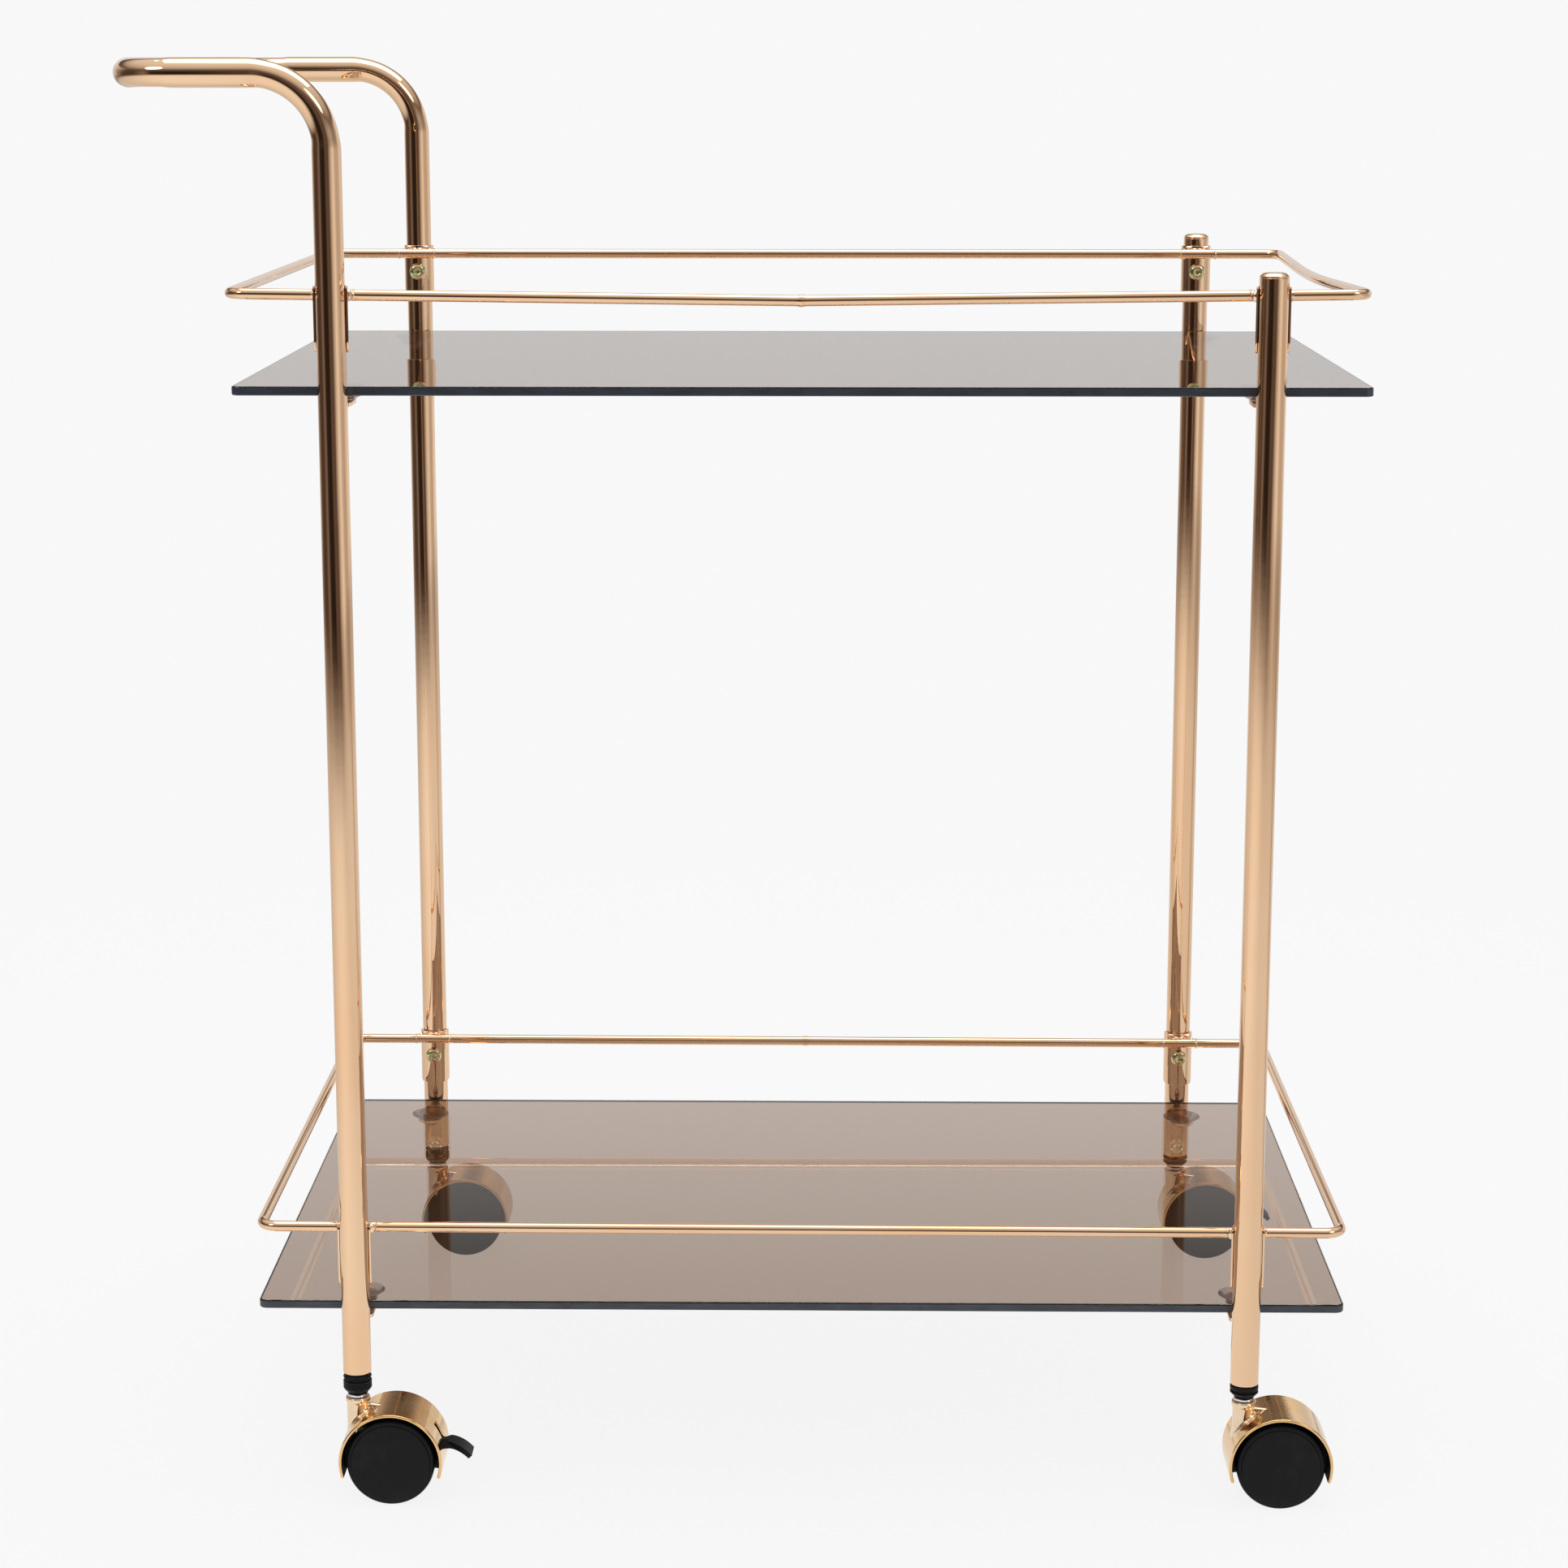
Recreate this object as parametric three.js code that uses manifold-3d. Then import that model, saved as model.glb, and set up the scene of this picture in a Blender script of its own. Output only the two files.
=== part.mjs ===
// Bar cart on four twin-wheel casters.
// Two smoked glass shelves stand on clear cups between four round tube posts. The left posts and
// the push handle are one bent tube. A rod rail, screwed to the posts, guards each shelf.
// Millimetres, +Z up, the push handle towards -X. The origin is the middle of the cart's box, on the floor.

import * as THREE from 'three';
import * as BufferGeometryUtils from 'three/addons/utils/BufferGeometryUtils.js';
import Module from 'manifold-3d';

const wasm = await Module();
wasm.setup();

// ---- Driving dimensions -------------------------------------------------------------------------

const GAP = 0.3;                    // left between pieces that touch or run in each other

// Posts and handle
const POST_X = 253;                 // half the distance between the left and right posts
const POST_Y = 209.5;               // half the distance between the front and rear posts
const TUBE_R = 8;
const TUBE_WALL = 1.2;
const TUBE_SIDES = 12;
const LEFT_TUBE_END = 73.5;         // height of the lower end of the left posts
const RIGHT_TUBE_END = 69;
const RIGHT_POST_TOP = 691.5;
const HANDLE_Z = 801;               // axis of the handle's tube
const HANDLE_X = 363;               // distance of the crossbar's axis from the middle between the posts
const HANDLE_BEND_R = 40;           // from post to handle
const CROSSBAR_BEND_R = 28;         // from handle side to crossbar
const CAP_DOME = 5.3;
const CAP_STEM = 12;
const CAP_RIM = 2.6;                // height of the cap's straight rim

// Shelves
const GLASS_LENGTH = 620;
const GLASS_DEPTH = 400;
const GLASS_THICKNESS = 5;
const GLASS_CORNER_R = 5;
const GLASS_BEVEL = 0.7;
const UPPER_GLASS_TOP = 634;
const LOWER_GLASS_TOP = 112.5;
const CUP_INWARD = 35;              // from a post's axis to the cup beside it
const CUP_RIM_R = 12.5;
const CUP_NECK_R = 3.1;             // where the cup goes through its tab
const TAB_DROP = 4;                 // from the glass to the top of a tab
const TAB_THICKNESS = 2;
const TAB_HALF_WIDTH = 8;
const TAB_TAPER = 4;                // narrowing of the tab, on each side, where it meets its post
const TAB_TAPER_LENGTH = 6;

// Guard rails
const ROD_R = 3;
const RAIL_HALF_LENGTH = 308;
const RAIL_BEND_R = 10;
const UPPER_RAIL_Z = 683.9;
const LOWER_RAIL_Z = 155.3;
const UPPER_RAIL_SAG = 3.6;         // the front of the upper rail dips towards its butt weld
const UPPER_RAIL_BOW = 5.5;         // the right side of the upper rail is bowed inward, and
const UPPER_RAIL_DIP = 3;           // downward by this much
const BOW_R = 2200;                 // radius of the bow's middle
const UPPER_RAIL_SHIFT = -2.2;      // of the upper rail along X
const LOWER_RAIL_TILT = 0.8;        // the lower rail's right end is this much low, and its left end high
const ROD_SUNK = 0.35;              // how deep the rod sits in its saddles
const WELD_BEAD_R = 2.2;
const BEAD_OFFSET = 6.8;            // of a bead from a saddle's middle, along the rod
const SADDLE_WALL = 1.1;
const SADDLE_ABOVE_ROD = 5;
const SADDLE_BELOW_ROD = 31;
const SADDLE_CORNER = 5;
const SCREW_BELOW_ROD = 11.6;

// Screws
const SCREW_HEAD_R = 5.25;
const SCREW_HEAD_HEIGHT = 3.2;
const SCREW_SHANK_R = 2.9;
const SCREW_HOLE_R = 3.2;
const SCREW_START = 1.5;            // from a post's axis to the inner end of a screw
const HEX_ACROSS_FLATS = 4;
const HEX_DEPTH = 2;

// Casters
const WHEEL_R = 25;
const TRAIL = 20;                   // from the swivel axis to the axle
const HOOD_R = 29.5;
const HOOD_WALL = 1.8;
const HOOD_HALF_WIDTH = 19.5;
const HOOD_END_ANGLE = THREE.MathUtils.degToRad(18);   // below level, at both ends of the hood
const WEB_HALF = 4.4;               // half the thickness of the web between the wheels
const WHEEL_INNER = 4.9;            // from the caster's middle plane to the wheel's inner face
const WHEEL_OUTER = 19;
const AXLE_R = 3;
const AXLE_HALF = 15;
const HUB_R = 10;                   // web round the axle
const BOSS_TOP = 59;
const BOSS_R = 6.3;
const BOSS_LIP_R = 7;
const BOSS_LIP_HEIGHT = 2.4;
const RECESS_R = 5.2;               // funnel in the top of the boss
const SHANK_R = 3.1;                // caster stem inside the boss
const SHANK_BOTTOM = 36;
const FLANGE_R = 5.9;
const STEM_R = 3.9;                 // caster stem inside the socket plug
const STEM_TOP = 104;
const GROOVE_DEPTH = 0.9;
const GRIP_RING_Z = 94;
const GRIP_RING_HALF = 1.6;
const GRIP_RING_PROUD = 0.6;        // of the stem
const PLUG_BOTTOM = 61.1;
const PLUG_TOP = 108;
const PLUG_CHAMFER = 2.4;
const RIB_PROUD = 0.1;              // of the tube's outside
const RIB_GROOVE = 1.2;             // depth of the grooves between the ribs
const GUSSET_HALF = 1.6;
const PIVOT_X = 12;                 // brake pivot, from the axle
const PIVOT_Z = 5;
const PIN_R = 1.5;
const LEVER_EYE_R = 3.8;
const LEVER_HALF = 2.1;
const PADDLE_START = 34;            // from the axle to where the lever has widened
const PADDLE_START_HALF = 4.6;
const PADDLE_TIP_HALF = 7;
const SLOT_PLAY = 0.5;              // on each side of the lever
const LEVER_REACH = 45.3;           // from the axle to the tip of the brake lever

const CLEAR = 1;                    // how far a cutter reaches past what it cuts

// The cart's box runs from the crossbar to the tip of the rear right brake lever.
const ORIGIN_SHIFT = (HANDLE_X + TUBE_R - (POST_X + TRAIL + LEVER_REACH)) / 2;

// ---- Materials ----------------------------------------------------------------------------------

function finish(color, roughness, metalness, opacity = 1) {
  return new THREE.MeshStandardMaterial({
    color, roughness, metalness, opacity, transparent: opacity < 1,
  });
}

const rosePlating = () => finish(0xd8a878, 0.12, 1);
const smokedGlass = () => finish(0x8c7f78, 0.05, 0, 0.45);
const clearVinyl = () => finish(0xd9cfc6, 0.25, 0, 0.5);
const yellowZinc = () => finish(0xb9a35a, 0.35, 1);
const brightSteel = () => finish(0xc4c6c8, 0.2, 1);
const blackNylon = () => finish(0x16171a, 0.45, 0);

// ---- Solids -------------------------------------------------------------------------------------

// Turns a closed geometry into a solid. Its faces may be wound either way, but all alike.
function solid(geometry) {
  const plain = geometry.clone();
  plain.deleteAttribute('normal');
  plain.deleteAttribute('uv');
  const merged = BufferGeometryUtils.mergeVertices(plain, 1e-4);
  const index = merged.index.array;
  const position = merged.attributes.position;
  const corner = [new THREE.Vector3(), new THREE.Vector3(), new THREE.Vector3()];
  const triangles = [];
  let volume = 0;
  for (let i = 0; i < index.length; i += 3) {
    const [a, b, c] = [index[i], index[i + 1], index[i + 2]];
    if (a === b || b === c || c === a) continue;
    triangles.push(a, b, c);
    corner.forEach((point, k) => point.fromBufferAttribute(position, [a, b, c][k]));
    volume += corner[0].dot(corner[1].cross(corner[2]));
  }
  if (volume < 0) triangles.reverse();
  return new wasm.Manifold(new wasm.Mesh({
    numProp: 3,
    vertProperties: new Float32Array(position.array),
    triVerts: new Uint32Array(triangles),
  }));
}

function geometryOf(body) {
  const mesh = body.getMesh();
  const geometry = new THREE.BufferGeometry();
  geometry.setAttribute('position', new THREE.BufferAttribute(mesh.vertProperties, 3));
  geometry.setIndex(new THREE.BufferAttribute(mesh.triVerts, 1));
  geometry.computeVertexNormals();
  return geometry;
}

// A body of revolution about +Z from [radius, height] pairs.
function turned(profile, segments) {
  const points = profile.map(([radius, height]) => new THREE.Vector2(radius, height));
  return new THREE.LatheGeometry(points, segments).rotateX(Math.PI / 2);
}

// A body of revolution whose profile closes on itself, for rings.
function turnedRing(profile, segments) {
  return turned([...profile, profile[0]], segments);
}

// A flat outline pushed through from z = low to z = high.
function pushed(outline, low, high, curveSegments = 8) {
  const shape = outline instanceof THREE.Shape
    ? outline
    : new THREE.Shape(outline.map(([x, y]) => new THREE.Vector2(x, y)));
  const geometry = new THREE.ExtrudeGeometry(shape, {
    depth: high - low, bevelEnabled: false, curveSegments,
  });
  return geometry.translate(0, 0, low);
}

// An outline in X and Z pushed through along Y, from -half to +half.
function pushedAcross(outline, half, curveSegments) {
  return pushed(outline, -half, half, curveSegments).rotateX(Math.PI / 2);
}

function rod(radius, low, high, segments = 12) {
  const geometry = new THREE.CylinderGeometry(radius, radius, high - low, segments);
  return geometry.rotateX(Math.PI / 2).translate(0, 0, (low + high) / 2);
}

function rodAcross(radius, low, high, segments = 12) {
  return rod(radius, low, high, segments).rotateX(-Math.PI / 2);
}

function ngon(radius, sides) {
  const corners = Array.from({ length: sides }, (_, i) => {
    const angle = (i / sides) * 2 * Math.PI;
    return new THREE.Vector2(radius * Math.cos(angle), radius * Math.sin(angle));
  });
  return new THREE.Shape(corners);
}

// A path of straight runs and round bends. It is stepped only along the bends.
class BentPath extends THREE.Curve {
  constructor(corners, bendRadii, stepsPerBend) {
    super();
    const start = corners[0];
    const first = corners[1].clone().sub(start).normalize();
    this.stations = [{ point: start, tangent: first }];
    for (let i = 1; i < corners.length - 1; i += 1) {
      const along = corners[i].clone().sub(corners[i - 1]).normalize();
      const next = corners[i + 1].clone().sub(corners[i]).normalize();
      this.addBend(corners[i], along, next, bendRadii[i - 1], stepsPerBend);
    }
    const end = corners[corners.length - 1];
    const last = end.clone().sub(corners[corners.length - 2]).normalize();
    this.stations.push({ point: end, tangent: last });
  }

  addBend(corner, along, next, radius, steps) {
    const angle = along.angleTo(next);
    const inward = next.clone().addScaledVector(along, -Math.cos(angle)).normalize();
    const begin = corner.clone().addScaledVector(along, -radius * Math.tan(angle / 2));
    for (let k = 0; k <= steps; k += 1) {
      const turn = (angle * k) / steps;
      this.stations.push({
        point: begin.clone()
          .addScaledVector(along, radius * Math.sin(turn))
          .addScaledVector(inward, radius * (1 - Math.cos(turn))),
        tangent: along.clone().multiplyScalar(Math.cos(turn)).addScaledVector(inward, Math.sin(turn)),
      });
    }
  }

  get steps() {
    return this.stations.length - 1;
  }

  getUtoTmapping(u) {
    return u;
  }

  getPoint(t) {
    return this.stations[Math.round(t * this.steps)].point.clone();
  }

  getTangent(t) {
    return this.stations[Math.round(t * this.steps)].tangent.clone();
  }
}

function swept(section, path) {
  return new THREE.ExtrudeGeometry(section, { steps: path.steps, extrudePath: path, bevelEnabled: false });
}

function tubeSection() {
  const section = ngon(TUBE_R, TUBE_SIDES);
  section.holes.push(new THREE.Path(ngon(TUBE_R - TUBE_WALL, TUBE_SIDES).getPoints().reverse()));
  return section;
}

// ---- The model ----------------------------------------------------------------------------------

const cart = new THREE.Group();
cart.position.x = ORIGIN_SHIFT;

function addPiece(parent, name, body, material, place = [0, 0, 0]) {
  const mesh = new THREE.Mesh(geometryOf(body), material);
  mesh.name = name;
  mesh.position.set(...place);
  parent.add(mesh);
}

const SIDES = [
  { side: 'front', sign: -1 },
  { side: 'rear', sign: 1 },
];
const ENDS = [
  { end: 'left', sign: -1 },
  { end: 'right', sign: 1 },
];
const LEVELS = [
  { level: 'upper', glassTop: UPPER_GLASS_TOP, railZ: UPPER_RAIL_Z },
  { level: 'lower', glassTop: LOWER_GLASS_TOP, railZ: LOWER_RAIL_Z },
];

const SADDLE_R = TUBE_R + GAP + SADDLE_WALL;       // outside of a saddle, from the post's axis
const ROD_INWARD = SADDLE_R + ROD_R - ROD_SUNK;    // from a post's axis to the rod's axis
const GLASS_TO_TAB = GLASS_THICKNESS + TAB_DROP;   // from the top of the glass to the top of a tab

// ---- Posts and handle

// A flat bar with a round end and a hole for the cup, with its root in the post's wall.
// It is drawn for a post at the origin whose inner side is +Y.
function shelfTab(glassTop) {
  const outline = new THREE.Shape();
  const root = TUBE_R - TUBE_WALL / 2;
  outline.moveTo(-TAB_HALF_WIDTH + TAB_TAPER, root);
  outline.lineTo(TAB_HALF_WIDTH - TAB_TAPER, root);
  outline.lineTo(TAB_HALF_WIDTH, root + TAB_TAPER_LENGTH);
  outline.lineTo(TAB_HALF_WIDTH, CUP_INWARD);
  outline.absarc(0, CUP_INWARD, TAB_HALF_WIDTH, 0, Math.PI, false);
  outline.lineTo(-TAB_HALF_WIDTH, root + TAB_TAPER_LENGTH);
  outline.closePath();
  const hole = new THREE.Path();
  hole.absarc(0, CUP_INWARD, CUP_NECK_R + GAP, 0, 2 * Math.PI, true);
  outline.holes.push(hole);
  const top = glassTop - GLASS_TO_TAB;
  return solid(pushed(outline, top - TAB_THICKNESS, top, 4));
}

// The hole for a screw on the inner side (+Y) of a post at the origin, through wall and saddle.
function screwHole() {
  return solid(rodAcross(SCREW_HOLE_R, TUBE_R / 2, SADDLE_R + CLEAR, 8));
}

// What a post at x, on the side given by sign, has on each level: a tab, and a hole for a screw.
function fitPost(tube, x, sign) {
  const turn = sign < 0 ? 0 : 180;
  let post = tube;
  for (const { glassTop, railZ } of LEVELS) {
    post = post
      .add(shelfTab(glassTop).rotate([0, 0, turn]).translate([x, sign * POST_Y, 0]))
      .subtract(screwHole().rotate([0, 0, turn]).translate([x, sign * POST_Y, railZ - SCREW_BELOW_ROD]));
  }
  return post;
}

function leftFrame() {
  const path = new BentPath([
    new THREE.Vector3(-POST_X, -POST_Y, LEFT_TUBE_END),
    new THREE.Vector3(-POST_X, -POST_Y, HANDLE_Z),
    new THREE.Vector3(-HANDLE_X, -POST_Y, HANDLE_Z),
    new THREE.Vector3(-HANDLE_X, POST_Y, HANDLE_Z),
    new THREE.Vector3(-POST_X, POST_Y, HANDLE_Z),
    new THREE.Vector3(-POST_X, POST_Y, LEFT_TUBE_END),
  ], [HANDLE_BEND_R, CROSSBAR_BEND_R, CROSSBAR_BEND_R, HANDLE_BEND_R], 5);
  const tube = solid(swept(tubeSection(), path));
  return fitPost(fitPost(tube, -POST_X, -1), -POST_X, 1);
}

function rightPost(sign) {
  const tube = solid(pushed(tubeSection(), RIGHT_TUBE_END, RIGHT_POST_TOP));
  return fitPost(tube.translate([POST_X, sign * POST_Y, 0]), POST_X, sign);
}

// A cap with a domed head over the tube's end and a stem inside the tube.
function postCap() {
  const stemR = TUBE_R - TUBE_WALL - GAP;
  return solid(turned([
    [0, -CAP_STEM],
    [stemR, -CAP_STEM],
    [stemR, GAP],
    [TUBE_R, GAP],
    [TUBE_R, CAP_RIM],
    [TUBE_R - 1, CAP_DOME - 1.3],
    [TUBE_R - 3.4, CAP_DOME - 0.3],
    [0, CAP_DOME],
  ], 12));
}

addPiece(cart, 'left_frame', leftFrame(), rosePlating());
for (const { side, sign } of SIDES) {
  addPiece(cart, `right_post_${side}`, rightPost(sign), rosePlating());
  addPiece(cart, `post_cap_${side}`, postCap(), rosePlating(), [POST_X, sign * POST_Y, RIGHT_POST_TOP]);
}

// ---- Shelves and their cups

function glassShelf() {
  const [x, y, r] = [GLASS_LENGTH / 2 - GLASS_BEVEL, GLASS_DEPTH / 2 - GLASS_BEVEL, GLASS_CORNER_R];
  const outline = new THREE.Shape();
  outline.absarc(x - r, y - r, r, 0, Math.PI / 2, false);
  outline.absarc(-x + r, y - r, r, Math.PI / 2, Math.PI, false);
  outline.absarc(-x + r, -y + r, r, Math.PI, 1.5 * Math.PI, false);
  outline.absarc(x - r, -y + r, r, 1.5 * Math.PI, 2 * Math.PI, false);
  return solid(new THREE.ExtrudeGeometry(outline, {
    depth: GLASS_THICKNESS - 2 * GLASS_BEVEL,
    bevelEnabled: true,
    bevelThickness: GLASS_BEVEL,
    bevelSize: GLASS_BEVEL,
    bevelSegments: 1,
    curveSegments: 2,
  }).translate(0, 0, GLASS_BEVEL - GLASS_THICKNESS));
}

// A cup with its rim up, a neck through the tab and a bulb under it. Zero is the glass's underside.
function suctionCup() {
  const tabTop = -TAB_DROP;
  const tabBottom = tabTop - TAB_THICKNESS;
  return solid(turned([
    [0, -1.8],
    [7, -1.5],
    [CUP_RIM_R - 0.8, -GAP],
    [CUP_RIM_R, -GAP - 0.4],
    [9.6, -2.6],
    [6.2, tabTop + GAP],
    [CUP_NECK_R, tabTop + GAP],
    [CUP_NECK_R, tabBottom - GAP],
    [CUP_NECK_R + 1.6, tabBottom - GAP],
    [CUP_NECK_R + 1, tabBottom - 2.4],
    [0, tabBottom - 3.6],
  ], 10));
}

for (const { level, glassTop } of LEVELS) {
  addPiece(cart, `${level}_shelf`, glassShelf(), smokedGlass(), [0, 0, glassTop]);
  for (const { side, sign: depthwise } of SIDES) {
    for (const { end, sign: lengthwise } of ENDS) {
      const place = [lengthwise * POST_X, depthwise * (POST_Y - CUP_INWARD), glassTop - GLASS_THICKNESS];
      addPiece(cart, `${level}_cup_${side}_${end}`, suctionCup(), clearVinyl(), place);
    }
  }
}

// ---- Guard rails and their screws

// A half sleeve on the inner side (+Y) of a post at the origin, with its screw hole. Zero is the rod.
function saddle() {
  const arc = (radius) => ngon(radius, TUBE_SIDES).getPoints().slice(0, TUBE_SIDES / 2 + 1);
  const outline = new THREE.Shape([...arc(SADDLE_R), ...arc(TUBE_R + GAP).reverse()]);
  const sleeve = solid(pushed(outline, -SADDLE_BELOW_ROD, SADDLE_ABOVE_ROD));
  const [w, top, low, c] = [SADDLE_R, SADDLE_ABOVE_ROD + 1, -SADDLE_BELOW_ROD, SADDLE_CORNER];
  const plate = new THREE.Shape();
  plate.moveTo(w + 1, top);
  plate.lineTo(-w - 1, top);
  plate.lineTo(-w - 1, low + c + 1);
  plate.quadraticCurveTo(-w, low, -w + c, low);
  plate.lineTo(w - c, low);
  plate.quadraticCurveTo(w, low, w + 1, low + c + 1);
  plate.closePath();
  const front = solid(pushedAcross(plate, SADDLE_R + 1, 2));
  return sleeve.intersect(front).subtract(screwHole().translate([0, 0, -SCREW_BELOW_ROD]));
}

// A bead of weld in the corner between the rod and a saddle's flank.
function weldBead() {
  return solid(new THREE.SphereGeometry(WELD_BEAD_R, 6, 4).scale(1.1, 1.3, 0.9));
}

// One rod, bent round the shelf and butt-welded in the middle of one long side. That side sags
// towards the weld, and the right side is bowed inward and dips in its middle.
function guardRail({ railZ, weldSign, sag, bow, dip, shift, tilt }) {
  const weldY = weldSign * (POST_Y - ROD_INWARD);
  const weldZ = railZ - sag;
  const halfCut = 0.2;
  const right = RAIL_HALF_LENGTH + shift;
  const left = -RAIL_HALF_LENGTH + shift;
  const path = new BentPath([
    new THREE.Vector3(halfCut, weldY, weldZ),
    new THREE.Vector3(right, weldY, railZ - tilt),
    new THREE.Vector3(right - bow, 0, railZ - tilt - dip),
    new THREE.Vector3(right, -weldY, railZ - tilt),
    new THREE.Vector3(left, -weldY, railZ + tilt),
    new THREE.Vector3(left, weldY, railZ + tilt),
    new THREE.Vector3(-halfCut, weldY, weldZ),
  ], [RAIL_BEND_R, BOW_R, RAIL_BEND_R, RAIL_BEND_R, RAIL_BEND_R], 4);
  const buttWeld = solid(new THREE.SphereGeometry(ROD_R + ROD_SUNK, 8, 6).scale(0.7, 1, 1));
  let rail = solid(swept(ngon(ROD_R, 8), path)).add(buttWeld.translate([0, weldY, weldZ]));
  for (const { sign: depthwise } of SIDES) {
    for (const { sign: lengthwise } of ENDS) {
      const sagHere = depthwise === weldSign ? sag * (1 - POST_X / RAIL_HALF_LENGTH) : 0;
      const tiltHere = lengthwise * tilt * POST_X / RAIL_HALF_LENGTH;
      const axis = [lengthwise * POST_X, depthwise * POST_Y, railZ];
      const turn = depthwise < 0 ? 0 : 180;
      let clip = saddle();
      for (const flank of [-1, 1]) {
        clip = clip.add(weldBead().translate([flank * BEAD_OFFSET, SADDLE_R, -sagHere - tiltHere]));
      }
      rail = rail.add(clip.rotate([0, 0, turn]).translate(axis));
    }
  }
  return rail;
}

// A button-head screw with a hex socket, its head towards +Y. Zero is the axis of its post.
function railScrew() {
  const seat = SADDLE_R + GAP;
  const body = solid(turned([
    [0, SCREW_START],
    [SCREW_SHANK_R, SCREW_START],
    [SCREW_SHANK_R, seat],
    [SCREW_HEAD_R, seat],
    [SCREW_HEAD_R, seat + 0.7],
    [SCREW_HEAD_R - 1.1, seat + SCREW_HEAD_HEIGHT - 0.8],
    [SCREW_HEAD_R - 2.4, seat + SCREW_HEAD_HEIGHT],
    [0, seat + SCREW_HEAD_HEIGHT],
  ], 10));
  const hexR = HEX_ACROSS_FLATS / 2 / Math.cos(Math.PI / 6);
  const top = seat + SCREW_HEAD_HEIGHT;
  return body.subtract(solid(pushed(ngon(hexR, 6), top - HEX_DEPTH, top + CLEAR))).rotate([-90, 0, 0]);
}

const UPPER_RAIL = {
  railZ: UPPER_RAIL_Z,
  weldSign: -1,
  sag: UPPER_RAIL_SAG,
  bow: UPPER_RAIL_BOW,
  dip: UPPER_RAIL_DIP,
  shift: UPPER_RAIL_SHIFT,
  tilt: 0,
};
const LOWER_RAIL = {
  railZ: LOWER_RAIL_Z, weldSign: 1, sag: 0, bow: 0, dip: 0, shift: 0, tilt: LOWER_RAIL_TILT,
};
addPiece(cart, 'upper_rail', guardRail(UPPER_RAIL), rosePlating());
addPiece(cart, 'lower_rail', guardRail(LOWER_RAIL), rosePlating());
for (const { level, railZ } of LEVELS) {
  for (const { side, sign: depthwise } of SIDES) {
    for (const { end, sign: lengthwise } of ENDS) {
      const screw = railScrew().rotate([0, 0, depthwise < 0 ? 0 : 180]);
      const place = [lengthwise * POST_X, depthwise * POST_Y, railZ - SCREW_BELOW_ROD];
      addPiece(cart, `${level}_screw_${side}_${end}`, screw, yellowZinc(), place);
    }
  }
}

// ---- Casters

// A socket plug: ribs below the tube's end, a sleeve inside the tube and a blind bore for the stem.
function socketPlug(tubeEnd, ribs) {
  const sleeveR = TUBE_R - TUBE_WALL - GAP;
  const boreR = STEM_R + GRIP_RING_PROUD + GAP;
  const ribR = TUBE_R + RIB_PROUD;
  const shoulder = tubeEnd - GAP;
  const pitch = (shoulder - PLUG_BOTTOM - PLUG_CHAMFER) / ribs;
  const outside = [[TUBE_R - PLUG_CHAMFER, PLUG_BOTTOM]];
  for (let i = 0; i < ribs; i += 1) {
    const low = PLUG_BOTTOM + PLUG_CHAMFER + i * pitch;
    outside.push([ribR, low], [ribR, low + pitch / 2], [ribR - RIB_GROOVE, low + 0.8 * pitch]);
  }
  outside[outside.length - 1] = [ribR - RIB_GROOVE, shoulder];
  return solid(turned([
    [boreR, PLUG_BOTTOM],
    ...outside,
    [sleeveR, shoulder],
    [sleeveR, PLUG_TOP],
    [0, PLUG_TOP],
    [0, STEM_TOP + GAP],
    [boreR, STEM_TOP + GAP],
    [boreR, PLUG_BOTTOM],
  ], 12));
}

// The stem turns in the caster's boss, and its grip ring holds it in the socket plug.
function casterStem() {
  const flangeLow = BOSS_TOP + GAP;
  const flangeHigh = PLUG_BOTTOM - GAP;
  const grooveR = STEM_R - GROOVE_DEPTH;
  const grooveHalf = GRIP_RING_HALF + GAP;
  return solid(turned([
    [0, SHANK_BOTTOM],
    [SHANK_R, SHANK_BOTTOM],
    [SHANK_R, flangeLow],
    [FLANGE_R, flangeLow],
    [FLANGE_R, flangeHigh],
    [STEM_R, flangeHigh],
    [STEM_R, GRIP_RING_Z - grooveHalf],
    [grooveR, GRIP_RING_Z - grooveHalf],
    [grooveR, GRIP_RING_Z + grooveHalf],
    [STEM_R, GRIP_RING_Z + grooveHalf],
    [grooveR, STEM_TOP],
    [0, STEM_TOP],
  ], 10));
}

function gripRing() {
  const inside = STEM_R - GROOVE_DEPTH + GAP;
  const outside = STEM_R + GRIP_RING_PROUD;
  return solid(turnedRing([
    [inside, -GRIP_RING_HALF],
    [outside, -GRIP_RING_HALF],
    [outside, GRIP_RING_HALF],
    [inside, GRIP_RING_HALF],
  ], 10));
}

function hoodOutline() {
  const [start, end] = [-HOOD_END_ANGLE, Math.PI + HOOD_END_ANGLE];
  const outline = new THREE.Shape();
  outline.absarc(0, 0, HOOD_R, start, end, false);
  outline.absarc(0, 0, HOOD_R - HOOD_WALL, end, start, true);
  outline.closePath();
  return outline;
}

// The web fills the hood and goes on round the axle as a hub.
function webOutline() {
  const [start, end] = [-HOOD_END_ANGLE, Math.PI + HOOD_END_ANGLE];
  const outline = new THREE.Shape();
  outline.absarc(0, 0, HOOD_R - HOOD_WALL / 2, start, end, false);
  outline.absarc(0, 0, HUB_R, 1.25 * Math.PI, 1.75 * Math.PI, false);
  outline.closePath();
  return outline;
}

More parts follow.
